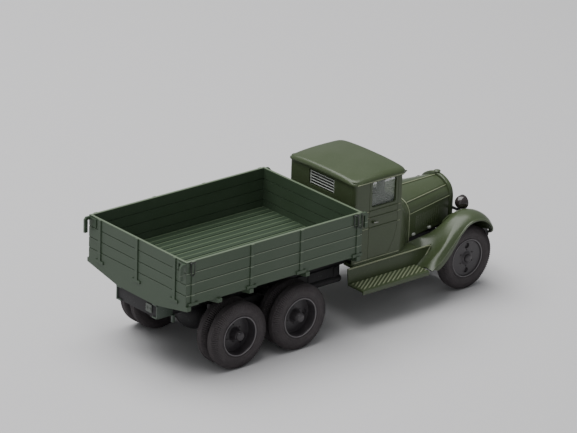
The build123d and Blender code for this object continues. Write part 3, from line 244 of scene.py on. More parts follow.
def plankHighlightsAndShade(paint, base):
    # soft steps in x, y and z mark each face; on it a painted highlight line is a band about a
    # height, and the seam highlights are where a saw tooth across the floor turns
    step = bed["step"]
    width = paint.y.size()
    tail = (bed["tail"] - paint.x).above(0, step)
    outer = ((width - bed["side"]).above(0, step) + tail * 0.3).clamped()
    # painted highlight: a light line along the lower edge of each groove, on the outer sides and,
    # fainter, on the tailgate
    for z in bed["edges"]:
        line = outer * paint.z.near(z, bed["edgeHalf"], bed["edgeSoft"])
        base = paint.mix(line * 0.75, base, tone(150, 160, 140))
    # painted highlight: the top rims lighter
    base = paint.mix(paint.z.above(bed["rim"], step) * 0.5, base, tone(120, 132, 110))
    # painted shade: the floor between the bed's walls darker
    floor = paint.z.near(bed["floor"], 2 * step, step) * (bed["floorSide"] - width).above(0, step) \
        * (paint.x - bed["floorRear"]).above(0, step) * (bed["floorFront"] - paint.x).above(0, step)
    base = paint.mix(floor, base, tone(46, 61, 44))
    # painted shade: the tailgate's rear-facing outer face darker
    base = paint.mix(tail * 0.6, base, tone(49, 64, 47))
    # painted highlight: light lines along the floor's seams
    seamHighlight = ((paint.y + 0.1).wave(bed["seamPitch"]) - 0.5).size().above(0.42, 0.03)
    return paint.mix(floor * seamHighlight * 0.45, base, tone(112, 126, 98))


finishes = dict(
    body_green=sprayed("bodyPaint", tone(60, 72, 44), rough=0.31, specular=0.42),
    # the bed's plastic, with painted highlights and painted shade along its planks
    bed_green=sprayed("bedPlastic", tone(57, 74, 54), rough=0.46, paintedLight=plankHighlightsAndShade),
    chassis_black=sprayed("chassisPlastic", tone(24, 23, 25), rough=0.55, mottle=0.2,
                          specular=0.25),
    tyre_black=rubber("tyreRubber", tone(58, 52, 54)),
    wheel_green=sprayed("wheelPlastic", tone(54, 50, 53), rough=0.36, mottle=0.15),
    steel=metal("rodSteel", (0.50, 0.50, 0.48)),
    cabin_black=sprayed("cabinPlastic", tone(40, 40, 38), rough=0.6, mottle=0.2),
    clear_pane=clearPlastic("windowPlastic", tone(150, 158, 150), 0.30),
    lamp_pane=clearPlastic("lensPlastic", tone(205, 210, 205), 0.45, rough=0.05),
    guard_grey=sprayed("guardPaint", tone(178, 182, 175), rough=0.4),
    # painted highlight for the raised lines of the body, the tread bars and the apron's bead
    highlightGreen=sprayed("greenHighlight", tone(138, 145, 116), rough=0.32, specular=0.6),
    dullGreen=sprayed("railPaint", tone(60, 72, 62), rough=0.5),
    dullGrey=sprayed("ribPlastic", tone(78, 84, 78), rough=0.45),
    # painted highlight on the rims' rolled edges
    rimHighlight=sprayed("rimHighlightPlastic", tone(120, 116, 118), rough=0.4),
    rubbedBlack=sprayed("bailPaint", tone(30, 36, 29), rough=0.4),
    glossBlack=sprayed("lampEnamel", tone(36, 27, 27), rough=0.16, specular=0.7, peel=0.02),
)
for part in frame["record"]["subparts"]:
    materials = frame["nodes"][part["node"]].data.materials
    materials.clear()
    materials.append(finishes[part["material_slot"]])
print("finishes made")


def ramp(value, low, high):  # 0 up to low, 1 from high on, straight between them
    return np.clip((value - low) / (high - low), 0, 1)


def smooth(share):  # the same with a soft start and end: 3 times the square less twice the cube
    return share ** 2 * (3 - 2 * share)


def grid(rows, columns, first=0.0):  # u down the rows from 0 to 1, v across from first to 1
    return np.linspace(0, 1, rows)[:, None], np.linspace(first, 1, columns)[None, :]


def sheetOf(x, y, z):
    return np.stack(np.broadcast_arrays(x, y, z), -1)


def around(count, start=0.0):  # even angles round a circle
    return start + np.arange(count) * 2 * np.pi / count


# A surface is a grid of points: each four neighbours are a face, a wrapped side joins its last
# line to its first, and caps close the first and last row
def surface(points, wrapRows=False, wrapColumns=False, caps=False):
    rows, columns = points.shape[:2]
    r = np.arange(rows if wrapRows else rows - 1)[:, None]
    c = np.arange(columns if wrapColumns else columns - 1)[None, :]
    nextR, nextC = (r + 1) % rows, (c + 1) % columns
    quads = np.stack(np.broadcast_arrays(r * columns + c, r * columns + nextC,
                                         nextR * columns + nextC, nextR * columns + c), -1)
    ends = [np.arange(columns), np.arange((rows - 1) * columns, rows * columns)] if caps else []
    return points.reshape(-1, 3), quads.reshape(-1, 4), ends


# A sheet with a wall: two grids of the same size, joined round their edge
def shell(outer, inner):
    rows, columns = outer.shape[:2]
    index = np.arange(rows * columns).reshape(rows, columns)
    flat = np.stack([index[:-1, :-1], index[:-1, 1:], index[1:, 1:], index[1:, :-1]], -1)
    flat = flat.reshape(-1, 4)
    edge = np.concatenate([index[0, :-1], index[:-1, -1], index[-1, :0:-1], index[:0:-1, 0]])
    after, count = np.roll(edge, -1), rows * columns
    wall = np.stack([edge, after, after + count, edge + count], -1)
    points = np.vstack([outer.reshape(-1, 3), inner.reshape(-1, 3)])
    return points, np.vstack([flat, flat[:, ::-1] + count, wall]), []


def mirrored(part):  # the left-hand twin
    points, quads, ends = part
    return points * (1, -1, 1), quads[:, ::-1], [end[::-1] for end in ends]


def bothSides(parts):  # takes a list
    return parts + [mirrored(part) for part in parts]


# A piece is one or more closed surfaces in one mesh, riding on a body
def piece(name, parts, slot, body="truck", replaces=(), finish=None, sharp=38):
    points, faces, start = [], [], 0
    for partPoints, quads, ends in parts:
        points.append(partPoints)
        faces += (quads + start).tolist() + [(end + start).tolist() for end in ends]
        start += len(partPoints)
    mesh = bpy.data.meshes.new(name)
    mesh.from_pydata((np.vstack(points) * mm).tolist(), [], faces)
    work = bmesh.new()
    work.from_mesh(mesh)
    bmesh.ops.remove_doubles(work, verts=work.verts, dist=2e-7)
    bmesh.ops.recalc_face_normals(work, faces=work.faces)
    work.to_mesh(mesh)
    work.free()
    mesh.polygons.foreach_set("use_smooth", np.ones(len(mesh.polygons), bool))
    mesh.set_sharp_from_angle(angle=math.radians(sharp))
    mesh.materials.append(finishes[finish or slot])
    made = placed(name, mesh)
    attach(made, body)
    if replaces:
        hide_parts(*replaces)


# Each corner of a line becomes a parabola from reach before it to reach after it
def roundCorners(line, reach, steps=3, closed=True):
    line = np.array(line, float)
    before, after = np.roll(line, 1, 0) - line, np.roll(line, -1, 0) - line
    sizeBefore = np.linalg.norm(before, axis=1, keepdims=True)
    sizeAfter = np.linalg.norm(after, axis=1, keepdims=True)
    start = line + before / sizeBefore * np.minimum(reach, 0.48 * sizeBefore)
    end = line + after / sizeAfter * np.minimum(reach, 0.48 * sizeAfter)
    t = np.linspace(0, 1, steps + 1)[None, :, None]
    curve = (1 - t) ** 2 * start[:, None] + 2 * t * (1 - t) * line[:, None] + t ** 2 * end[:, None]
    if closed:
        return curve.reshape(-1, line.shape[1])
    return np.vstack([line[:1], curve[1:-1].reshape(-1, line.shape[1]), line[-1:]])


def oblong(x0, x1, y0, y1, reach, steps=3):  # a rectangle with round corners
    return roundCorners([(x0, y0), (x1, y0), (x1, y1), (x0, y1)], reach, steps)


def spaced(line, count, closed=False):  # the same line as evenly spaced points
    line = np.array(line, float)
    if closed:
        line = np.vstack([line, line[:1]])
    run = np.concatenate([[0], np.cumsum(np.linalg.norm(np.diff(line, axis=0), axis=1))])
    at = np.linspace(0, run[-1], count, endpoint=not closed)
    return np.stack([np.interp(at, run, line[:, k]) for k in range(line.shape[1])], 1)


def fromFace(face, points):  # a profile's points, given as distances from a face and radii
    return [(face + along, radius) for along, radius in points]


# A profile of (distance along the axis, radius) points carried round the axis
def turned(profile, centre, axis=(0, -1, 0), segments=96, ring=False, shape=None):
    profile, axis = np.array(profile, float), np.array(axis, float)
    across = np.array((0, 1, 0) if abs(axis[0]) > 0.5 else (1, 0, 0), float)
    up = np.cross(axis, across)
    angle = around(segments)
    reach = profile[:, 1:2] + np.zeros(segments)
    along = profile[:, 0:1] + np.zeros(segments)
    if shape:
        along, reach = shape(along, reach, angle[None, :])
    spoke = np.cos(angle)[:, None] * across + np.sin(angle)[:, None] * up
    points = np.array(centre, float) + along[..., None] * axis + reach[..., None] * spoke
    return surface(points, wrapRows=ring, wrapColumns=True)


# A round tube whose rings stand square to a path, turned so that one spoke follows side
def tube(path, radius, side=(0, 1, 0), segments=10):
    path = np.array(path, float)
    run = np.gradient(path, axis=0)
    run /= np.linalg.norm(run, axis=1, keepdims=True)
    first = np.cross(run, np.array(side, float))
    first /= np.linalg.norm(first, axis=1, keepdims=True)
    second = np.cross(run, first)
    angle = around(segments)[None, :, None]
    radius = np.broadcast_to(np.asarray(radius, float).reshape(-1, 1, 1), (len(path), 1, 1))
    rings = path[:, None] + radius * (np.cos(angle) * first[:, None]
                                      + np.sin(angle) * second[:, None])
    return surface(rings, wrapColumns=True, caps=True)


def inwardOf(line):  # at each point of a closed line, the unit normal to its left
    run = np.roll(line, -1, 0) - np.roll(line, 1, 0)
    return np.stack([-run[:, 1], run[:, 0]], 1) / np.linalg.norm(run, axis=1, keepdims=True)


# An outline standing on one plane and drawn out along its normal, its rims broken by edge
def slab(outline, plane, start, end, edge=0.08):
    flat = np.array(outline, float)
    y, z = flat.T
    inward = inwardOf(flat) * np.sign(np.sum(y * np.roll(z, -1) - np.roll(y, -1) * z))
    bevel = np.sign(end - start) * edge
    rows = []
    for depth, inset in ((start, edge), (start + bevel, 0), (end - bevel, 0), (end, edge)):
        ring = flat + inward * inset
        level = np.full((len(flat), 1), depth)
        rows.append({"xy": np.hstack([ring, level]),
                     "xz": np.hstack([ring[:, :1], level, ring[:, 1:]]),
                     "yz": np.hstack([level, ring])}[plane])
    return surface(np.array(rows), wrapColumns=True, caps=True)


def block(low, high, edge=0.1):  # a box with all its edges broken
    (x0, y0, z0), (x1, y1, z1) = low, high
    return slab(oblong(x0, x1, y0, y1, edge, 2), "xy", z0, z1, edge)


# The three axles: middle, outer faces of the tyres, hand holes in degrees, and the wheel's faces
# as distances from the truck's middle
twin = dict(tyres=(24.7, 19.5), hub=14.4, back=20.1, bandStart=15.45, bandEnd=24.35, disc=20.9,
            cap=25.0)
axles = dict(front=dict(x=frontX, holes=(90, 270), tyres=(19.2,), hub=14.3, back=17.6,
                        bandStart=15.15, bandEnd=18.85, disc=18.3, cap=19.8),
             middle=dict(x=middleX, holes=(0, 180), **twin),
             rear=dict(x=rearX, holes=(135, 315), **twin))

# Tyres: a ribbed crown, serrated shoulders and rings on the walls. The section's points are
# distances from the tyre's middle and radii.
tyre = dict(width=4.4, segments=384, lugs=96, lugDepth=0.36, section=[
    (0.0, 11.12), (0.16, 11.12), (0.22, 11.2), (0.72, 11.2), (0.78, 11.1), (0.92, 11.1),
    (0.98, 11.17), (1.3, 11.1), (1.62, 10.9), (1.9, 10.55), (2.08, 10.1), (2.17, 9.6),
    (2.2, 9.2), (2.19, 8.86), (2.12, 8.82), (2.12, 8.70), (2.17, 8.66), (2.14, 8.3),
    (2.08, 8.0), (2.0, 7.96), (1.99, 7.84), (2.05, 7.8), (1.98, 7.5), (1.86, 7.2), (1.70, 7.12),
    (1.64, 6.98), (1.66, 6.85), (0.6, 6.85)])


def serrated(along, reach, angle):
    # a wave round the tyre sinks the shoulder between the lugs, by the lug's depth inwards and
    # half of it sideways; two ramps keep it off the crown and off the walls
    band = ramp(np.abs(along), 0.95, 1.2) * ramp(reach, 8.95, 9.45)
    sink = band * np.clip(0.45 - 1.8 * np.cos(angle * tyre["lugs"]), 0, 1) * tyre["lugDepth"]
    return along - np.sign(along) * sink * 0.5, reach - sink


def makeTyre(x, face, side):  # half a section and its mirror, turned round the axle
    half = np.array(tyre["section"])
    section = np.vstack([half[::-1] * (-1, 1), half[1:]])
    return turned(section, (x, side * (face - tyre["width"] / 2), axleZ), (0, side, 0),
                  tyre["segments"], ring=True, shape=serrated)


for axle, at in axles.items():
    made = [makeTyre(at["x"], face, side) for face in at["tyres"] for side in (-1, 1)]
    piece(f"{axle}Tyres", made, "tyre_black", f"{axle}_wheelset", [f"{axle}_tyres"], sharp=50)
print("tyres made")

# Wheels: a rim band with a rolled edge, a disc with two hand holes, six studs and a hub cap.
# Each run of the profile is a list of distances from the face that it is named for, and radii.
wheelRuns = dict(
    hub=[(0, 0.76), (0, 1.9), (0.2, 2.1)],
    back=[(-0.3, 2.1), (0, 2.4), (0, 5.9), (-0.25, 6.2)],
    bandStart=[(0.12, 6.2), (0, 6.35), (0, 6.7), (0.1, 6.8)],
    bandEnd=[(-0.45, 6.8), (-0.3, 6.83), (-0.08, 6.82), (0, 6.68), (0, 6.44), (-0.12, 6.3),
             (-0.5, 6.2)],
    disc=[(0.45, 6.2), (0.1, 6.08), (0, 5.78), *[(0, r) for r in np.linspace(5.7, 2.6, 34)],
          (0.12, 2.25), (0.2, 2.1), (0.42, 1.92)],
    cap=[(-1.05, 1.7), (-0.95, 1.55), (-0.6, 1.48), (-0.34, 1.36), (-0.16, 1.1), (-0.06, 0.75),
         (0, 0.4), (0, 0), (-1.6, 0), (-1.6, 0.76)])
wheel = dict(segments=144, discRadius=6.1, holeReach=4.4, holeRadius=0.95, holeSoft=0.12,
             holeDepth=0.62, studs=6, studReach=2.95,
             stud=[(-0.05, 0), (-0.05, 0.24), (0.16, 0.24), (0.2, 0.2), (0.2, 0.12), (0.32, 0.1),
                   (0.34, 0)])


def makeWheel(at, side):
    def pierced(along, reach, angle):
        # inside a hand hole's circle the disc's face drops towards its back
        onDisc = (np.abs(along - at["disc"]) < 0.01) & (reach < wheel["discRadius"])
        sink = np.zeros_like(reach)
        for hole in np.radians(at["holes"]):
            away = np.hypot(reach * np.cos(angle) - wheel["holeReach"] * np.cos(hole),
                            reach * np.sin(angle) - wheel["holeReach"] * np.sin(hole))
            sink = np.maximum(sink, 1 - ramp(away, wheel["holeRadius"] - wheel["holeSoft"],
                                             wheel["holeRadius"]))
        return along - onDisc * sink * wheel["holeDepth"], reach

    profile = [point for face, points in wheelRuns.items() for point in fromFace(at[face], points)]
    parts = [turned(profile, (at["x"], 0, axleZ), (0, side, 0), wheel["segments"], ring=True,
                    shape=pierced)]
    for angle in around(wheel["studs"], math.radians(30)):
        place = (at["x"] + wheel["studReach"] * math.cos(angle), 0,
                 axleZ + wheel["studReach"] * math.sin(angle))
        parts.append(turned(fromFace(at["disc"], wheel["stud"]), place, (0, side, 0), 6))
    return parts


for axle, at in axles.items():
    piece(f"{axle}Wheels", makeWheel(at, -1) + makeWheel(at, 1), "wheel_green",
          f"{axle}_wheelset", [f"{axle}_wheels"], sharp=35)
print("wheels made")

# Hood and cowl, blended from a rear section to a front one. A section is the half width of its
# side, the top of the side, the shoulder's y and z, and the top.
hood = dict(rearX=36.5, frontX=57.95, bottom=21.0, wall=0.5, stations=25, bead=0.13,
            rear=(11.5, 29.6, 9.5, 32.9, 35.0), front=(7.5, 30.2, 5.5, 33.2, 35.2))
cowl = dict(rearX=27.95, frontX=36.35, bottom=19.7, wall=0.5, stations=25, bead=0.04,
            rear=(16.4, 34.5, 13.1, 37.5, 38.0), front=(11.5, 29.6, 9.5, 32.9, 35.0),
            belly=0.025, lip=0.16)


def sectionOf(sizes, bottom, bead):
    # half a section goes up the side, over the hinge bead, along the slant, which bows by half a
    # sine, over the shoulder bead, along the top, a parabola, and over the middle hinge
    halfWidth, sideTop, shoulderY, shoulderZ, top = sizes
    side = np.stack([np.full(8, halfWidth), np.linspace(bottom, sideTop - 0.45, 8)], 1)
    hinge = np.array([(0.0, -0.34), (bead, -0.28), (bead, -0.02), (0.0, 0.05), (-bead * 1.4, 0.08),
                      (-bead * 1.5, 0.2), (-bead * 0.6, 0.26)]) + (halfWidth, sideTop)
    share = np.linspace(0, 1, 8)[1:-1, None]
    foot = np.array((halfWidth - 0.1, sideTop + 0.3))
    head = np.array((shoulderY + 0.2, shoulderZ - 0.28))
    across = np.array((head[1] - foot[1], foot[0] - head[0]))
    slant = foot + (head - foot) * share + across * 0.09 * np.sin(np.pi * share)
    edge = np.array([(0.2, -0.28), (0.14, -0.08), (0.05 + bead * 0.4, bead * 0.7),
                     (-0.12, 0.05 + bead * 0.7), (-0.3, 0.07)]) + (shoulderY, shoulderZ)
    y = np.linspace(shoulderY - 0.4, 0.42, 12)
    crown = shoulderZ + (top - bead - shoulderZ) * (1 - (y / shoulderY) ** 2)
    pin = np.array([(0.34, -bead * 1.05), (0.28, -bead * 1.9), (0.22, -bead * 1.2),
                    (0.17, -bead * 0.3), (0.1, -0.02), (0.0, 0.0)]) + (0, top)
    half = np.vstack([side, hinge, slant, edge, np.stack([y, crown], 1), pin])
    return np.vstack([half * (-1, 1), half[-2::-1]])


def panelLoft(panel, share, swell):
    # at each station the sections blend by share and widen by swell, and the inner face is the
    # outer one drawn in towards the middle of its foot by the wall
    first, last = [sectionOf(panel[end], panel["bottom"], panel["bead"])
                   for end in ("rear", "front")]
    outline = first + (last - first) * share[:, None, None]
    outline = outline * (1 + swell[:, None, None] * np.array((1, 0)))
    x = np.linspace(panel["rearX"], panel["frontX"], panel["stations"])[:, None]
    outer = sheetOf(x, outline[..., 0], outline[..., 1])
    width = np.abs(outline[..., 0]).max(1)[:, None]
    height = outline[..., 1].max(1)[:, None] - panel["bottom"]
    inner = outer.copy()
    inner[..., 1] *= 1 - panel["wall"] / width
    inner[..., 2] -= (inner[..., 2] - panel["bottom"]) * panel["wall"] / height
    return shell(outer, inner)


def hoodAt(x):  # the section's five sizes at x
    share = (x - hood["rearX"]) / (hood["frontX"] - hood["rearX"])
    return [a * (1 - share) + b * share for a, b in zip(hood["rear"], hood["front"])]


# Louvres, on the right side only: long drops whose front side lifts off the panel and whose ends
# run out to nothing
louvre = dict(start=40.4, pitch=1.05, count=12, half=0.34, low=22.6, high=28.2, lift=0.30)


def louvreAt(x):
    # the lift is a flattened half sine up the louvre times a leaning parabola across it
    t, s = grid(17, 7, -1)
    panelY = hoodAt(x)[0]
    lift = louvre["lift"] * np.sin(np.pi * t) ** 0.4 * (1 - s ** 2) * (0.65 + 0.35 * s)
    z = louvre["low"] + (louvre["high"] - louvre["low"]) * t
    return shell(sheetOf(x + s * louvre["half"], -(panelY + lift), z),
                 sheetOf(x + s * louvre["half"], -(panelY - 0.12), z))


share = np.linspace(0, 1, hood["stations"])
louvres = [louvreAt(louvre["start"] + louvre["pitch"] * k) for k in range(louvre["count"])]
piece("hoodPanels", [panelLoft(hood, share, share * 0)] + louvres, "body_green",
      replaces=["hood"], sharp=32)

# The cowl narrows slowly, then fast, then slowly, bulges by half a sine and has a lip in front
swell = np.sin(np.pi * share) * cowl["belly"] \
    + ramp(share, 0.95, 0.97) * cowl["lip"] / cowl["front"][0]
piece("cowlPanel", [panelLoft(cowl, 0.45 * share + 0.55 * smooth(share), swell)], "body_green",
      replaces=["cowl"], sharp=40)

# Hood clamps: a low round-ended block on each side's lower edge
clamp = dict(at=(38.9, 47.4), low=21.25, high=22.15, half=0.75, proud=0.5)


def clampAt(x):
    outline = oblong(x - clamp["half"], x + clamp["half"], clamp["low"], clamp["high"], 0.42, 5)
    panelY = hoodAt(x)[0]
    return slab(outline, "xz", 0.15 - panelY, -clamp["proud"] - panelY, 0.14)


piece("hoodClamps", bothSides([clampAt(x) for x in clamp["at"]]), "guard_grey", sharp=30)
print("hood and cowl made")

# Cab roof: rings of one rounded outline, from the crown out over the edge, down and back under.
# The height falls by a square fore and aft, by a power across, and by a quarter circle at the edge.
roof = dict(rearX=6.75, frontX=29.9, halfWidth=17.1, top=50.4, low=47.75, corner=2.6, shoulder=0.13,
            drop=1.3, rearDrop=0.7, frontDrop=0.25, crownY=0.95, peak=0.15, wall=0.55 / 12,
            ceiling=48.64)


def makeRoof():
    middle, halfX = (roof["rearX"] + roof["frontX"]) / 2, (roof["frontX"] - roof["rearX"]) / 2
    outline = oblong(-halfX, halfX, -roof["halfWidth"], roof["halfWidth"], roof["corner"], 8)
    outline = spaced(outline, 168, closed=True)
    turn = 1 - roof["shoulder"]
    rings = np.concatenate([np.linspace(0, turn, 14)[:-1],
                            turn + roof["shoulder"] * np.sin(np.linspace(0, np.pi / 2, 9))])
    plan = rings[:, None, None] * outline
    edge = ramp(rings, turn, 1)[:, None]
    along = plan[..., 0] / halfX - roof["peak"]  # the crown lies a little ahead of the middle
    height = roof["top"] - np.where(along < 0, roof["rearDrop"], roof["frontDrop"]) * along ** 2 \
        - roof["crownY"] * np.abs(plan[..., 1] / roof["halfWidth"]) ** 2.6 \
        - roof["drop"] * (1 - np.sqrt(1 - edge ** 2))
    low, high, inside = roof["low"], roof["ceiling"], 1 - roof["wall"]
    size, z = np.array([(1.0, low + 0.12), (0.997, low), (inside, low), (inside, high),
                        (0.0, high)]).T[:, :, None]
    skirt = sheetOf(outline[:, 0] * size, outline[:, 1] * size, z)
    return surface(np.vstack([sheetOf(plan[..., 0], plan[..., 1], height), skirt]) + (middle, 0, 0),
                   wrapColumns=True)


# Sun visor: a thin sheet that leaves the roof's front edge and dips by a power of its reach
visor = dict(rearX=29.4, frontX=31.3, halfWidth=15.2, high=48.85, low=47.55, sheet=0.32,
             bracket=[(28.7, 48.4), (31.0, 47.75), (29.3, 46.6), (28.7, 46.6)])


def makeVisor():
    t, s = grid(9, 41, -1)
    reach = (visor["frontX"] - visor["rearX"]) * (1 - 0.35 * ramp(np.abs(s), 0.9, 1) * t)
    top = sheetOf(visor["rearX"] + t * reach, s * visor["halfWidth"],
                  visor["high"] - (visor["high"] - visor["low"]) * t ** 1.4 - 0.25 * s ** 2)
    bracket = slab(roundCorners(visor["bracket"], 0.3), "xz", -15.25, -15.7)
    return [shell(top, top - (0, 0, visor["sheet"]))] + bothSides([bracket])


piece("cabRoof", [makeRoof()] + makeVisor(), "body_green", replaces=["cab_roof"], sharp=40)
print("roof made")

# Radiator shell: a frame section of (forward, inward) points carried round an arched outline,
# and the filler cap
radiator = dict(rearX=58.0, halfWidth=7.85, low=17.8, high=36.1, capX=58.95, arch=[
    (0, 6.0), (0.45, 4.0), (1.6, 2.3), (3.8, 0.9), (5.8, 0.25), (7.85, 0)], section=[
    (0, 0.45), (0.05, 0.2), (0.2, 0.05), (0.5, 0), (1.2, 0), (1.5, 0.06), (1.72, 0.22),
    (1.82, 0.45), (1.85, 0.75), (1.78, 1.0), (1.55, 1.1), (0, 1.1)], cap=[
    (-0.4, 0), (-0.4, 0.9), (0.02, 0.95), (0.06, 1.15), (0.3, 1.18), (0.42, 1.05), (0.5, 0.6),
    (0.6, 0.45), (0.6, 0)])


def makeRadiator():
    wide, high = radiator["halfWidth"], radiator["high"]
    arch = [(wide - inset, high - fall) for inset, fall in radiator["arch"]]
    line = [(wide, radiator["low"])] + arch + [(-y, z) for y, z in arch[-2::-1]] \
        + [(-wide, radiator["low"])]
    line = spaced(roundCorners(line, 0.9), 180, closed=True)
    forward, inset = np.array(radiator["section"]).T
    ring = line[:, None, :] + inwardOf(line)[:, None, :] * inset[None, :, None]
    return [surface(sheetOf(radiator["rearX"] + forward, ring[..., 0], ring[..., 1]),
                    wrapRows=True, wrapColumns=True),
            turned(radiator["cap"], (radiator["capX"], 0, high), (0, 0, 1), 24)]


piece("radiatorFrame", makeRadiator(), "body_green", replaces=["radiator_shell"], sharp=40)

# Headlamps: an egg-shaped back, a rolled rim and a bowl inside, and a bulged lens
lamp = dict(place=(58.05, 11.0, 28.1), radius=2.38, depth=3.105,
            bowl=[(3.16, 2.45), (3.4, 2.45), (3.5, 2.38), (3.5, 2.2), (3.3, 2.12), (2.7, 1.75),
                  (1.9, 1.1), (1.5, 0.4), (1.45, 0)],
            lens=[(3.42, 0), (3.42, 2.1), (3.52, 2.15), (3.62, 2.16), (3.82, 1.9), (4.02, 1.3),
                  (4.16, 0.6), (4.2, 0)])
egg = [(lamp["depth"] * s, lamp["radius"] * (1 - (1 - s) ** 2.3) ** 0.55)
       for s in np.linspace(0, 1, 15)]


def lampParts(profile):
    return bothSides([turned(profile, lamp["place"], (1, 0, 0), 64)])


piece("headlampShells", lampParts(egg + lamp["bowl"]), "chassis_black", replaces=["headlamps"],
      finish="glossBlack", sharp=40)
piece("headlampGlass", lampParts(lamp["lens"]), "lamp_pane", replaces=["headlamp_lenses"], sharp=40)
print("radiator and lamps made")

# Fenders: the crown line is an arc over the wheel and a slope down to the board, and a domed
# section stands square to it. The front tip is rounded in plan and the foot widens to the board.
# Angles are in degrees about the arch's middle, and shares are parts of the run from tip to foot.
fender = dict(archX=57.45, archZ=17.1, radius=10.7, tip=9.0, leave=126.5, archShare=0.62,
              footX=35.41, footZ=14.1, inner=10.6, outer=22.4, footOuter=24.9, peak=17.2,
              footPeak=21.4, innerDrop=3.0, outerDrop=2.05, dip=1.5, sag=0.5, sheet=0.5, bead=0.16,
              tipLength=5.5, tipRound=3.6, bayStart=(50.8, 11.0, 20.75), bayEnd=(34.9, 12.2, 19.75),
              lipRadius=8.8, lipLeave=138.0, lipToe=1.5, lipZ=13.3, innerStart=34.0,
              innerEnd=132.5, innerLow=17.4)


def fenderArc(u, radius, leave):  # x and z on an arc from the tip, and the angle there
    angle = fender["tip"] + (leave - fender["tip"]) * ramp(u, 0, fender["archShare"])
    angle = np.radians(angle)
    return fender["archX"] + radius * np.cos(angle), fender["archZ"] + radius * np.sin(angle), angle


def fenderLine(u, radius, footX, footZ):
    # the arc, and from its end a straight slope to the foot that sags into the board
    x, z, angle = fenderArc(u, radius, fender["leave"])
    down = ramp(u, fender["archShare"], 1)
    sag = fender["sag"] * np.sin(np.pi * down) ** 2 * down
    return x + (footX - x[-1]) * down, z + (footZ - z[-1]) * down - sag, angle


def fenderPlan(u):
    # the outer edge flares by a power of the run, and the tip draws in by a quarter circle
    reach = np.radians(fender["leave"] - fender["tip"]) * fender["radius"]
    fromTip = reach * ramp(u, 0, fender["archShare"])
    near = np.clip(1 - fromTip / fender["tipLength"], 0, 1)
    pinch = fender["tipRound"] * (1 - np.sqrt(1 - near ** 2))
    flare = ramp(u, 0.55, 1) ** 1.5
    return fender["outer"] + (fender["footOuter"] - fender["outer"]) * flare - pinch, pinch


def makeCrown():
    # across the run, s goes from the inner edge at -1 over the ridge at 0 to the outer at 1, and
    # the section drops by a power of s along the normal
    u, s = grid(72, 49, -1)
    x, z, angle = fenderLine(u, fender["radius"], fender["footX"], fender["footZ"])
    normal = np.concatenate([np.cos(angle), 0 * angle, np.sin(angle)], 1)[:, None, :]
    outer, pinch = fenderPlan(u)
    run = ramp(u, 0.5, 0.85)
    peak = fender["peak"] + (fender["footPeak"] - fender["peak"]) * smooth(run)
    y = peak + s * np.where(s < 0, peak - fender["inner"] - pinch * 0.8, outer - peak)
    drop = np.where(s < 0, fender["innerDrop"], fender["outerDrop"]) * np.abs(s) ** 2.2 \
        * (1 - 0.75 * ramp(u, 0.9, 1)) - fender["bead"] * ramp(s, 0.93, 0.96)
    top = sheetOf(x, -y, z) - normal * drop[..., None]
    # behind the arch the inner half runs on, hollow, to the edge of the bay under the hood
    back = ramp(u, 0.5, 1)
    bayX, bayY, bayZ = [a + (b - a) * back ** power for a, b, power in
                        zip(fender["bayStart"], fender["bayEnd"], (0.9, 1, 1))]
    reach = np.clip(-s, 0, 1)
    bay = sheetOf(x + (bayX - x) * reach ** 1.15, -(peak + (bayY - peak) * reach),
                  z + (bayZ - z) * reach ** 2 - fender["dip"] * run * np.sin(np.pi * reach))
    share = ((s < 0) * smooth(ramp(u, 0.42, 0.58)))[..., None]
    top = top * (1 - share) + bay * share
    under = top - normal * fender["sheet"]
    under[..., 1] += 0.2 * np.clip(s, 0, 1)
    return shell(top, under)


def makeFenderSide():
    # straight lines from under the crown's outer edge to a lip, which is an arc of its own and
    # runs out by a power to the board
    u, v = grid(60, 9)
    fall, leave = fender["outerDrop"], np.radians(fender["leave"])
    footX = fender["footX"] - fall * np.cos(leave)
    topX, topZ = fenderLine(u, fender["radius"] - fall + 0.12, footX,
                            fender["footZ"] - fall * np.sin(leave))[:2]
    topZ = topZ + 0.75 * fall * ramp(u, 0.9, 1)
    lipX, lipZ = fenderArc(u, fender["lipRadius"], fender["lipLeave"])[:2]
    down = ramp(u, fender["archShare"], 1)
    lipX = lipX + (footX + fender["lipToe"] - lipX[-1]) * down
    lipZ = lipZ + (lipZ[-1] - fender["lipZ"]) * ((1 - down) ** 1.7 - 1)
    lipZ = np.minimum(lipZ, topZ - 0.05)
    face = sheetOf(topX + (lipX - topX) * v, 0.02 - fenderPlan(u)[0], topZ + (lipZ - topZ) * v)
    return shell(face, face + (0, 0.45, 0))


def makeFenderInner():
    # straight lines from under the crown's inner edge down to one level beside the frame
    u, v = grid(60, 9)
    angle = np.radians(fender["innerStart"] + (fender["innerEnd"] - fender["innerStart"]) * u)
    arc = fender["radius"] - fender["innerDrop"] + 0.1
    top = fender["archZ"] + arc * np.sin(angle)
    z = top + (np.minimum(fender["innerLow"], top - 0.1) - top) * v
    face = sheetOf(fender["archX"] + arc * np.cos(angle), -(fender["inner"] + 0.05), z)
    return shell(face, face + (0, -0.5, 0))


def onSide(side, parts):
    return parts if side == "right" else [mirrored(part) for part in parts]


fenderParts = [makeCrown(), makeFenderSide(), makeFenderInner()]
for side in ("right", "left"):
    piece(f"{side}Fender", onSide(side, fenderParts), "body_green", replaces=[f"fender_{side}"],
          sharp=45)
print("fenders made")

# Running boards: a sheet with a rolled outer edge, slanting tread bars, a hollow apron with a
# bead along its top and down its front end, and the arms that carry it
board = dict(rearX=5.25, frontX=34.45, inner=17.6, outer=24.9, top=14.1, sheet=0.7, roll=1.5,
             bars=18, barSlant=8.6, barWidth=0.44, barHeight=0.32, barStart=0.95, barSpan=5.9,
             barMargin=0.7, apronTop=19.2, tipX=41.9, toeX=35.0, lean=0.62, armX=(13.35, 26.95),
             arm=[(-23.7, 13.4), (-10.4, 13.4), (-10.4, 18.05), (-9.2, 18.05), (-9.2, 12.2),
                  (-23.7, 12.7)])


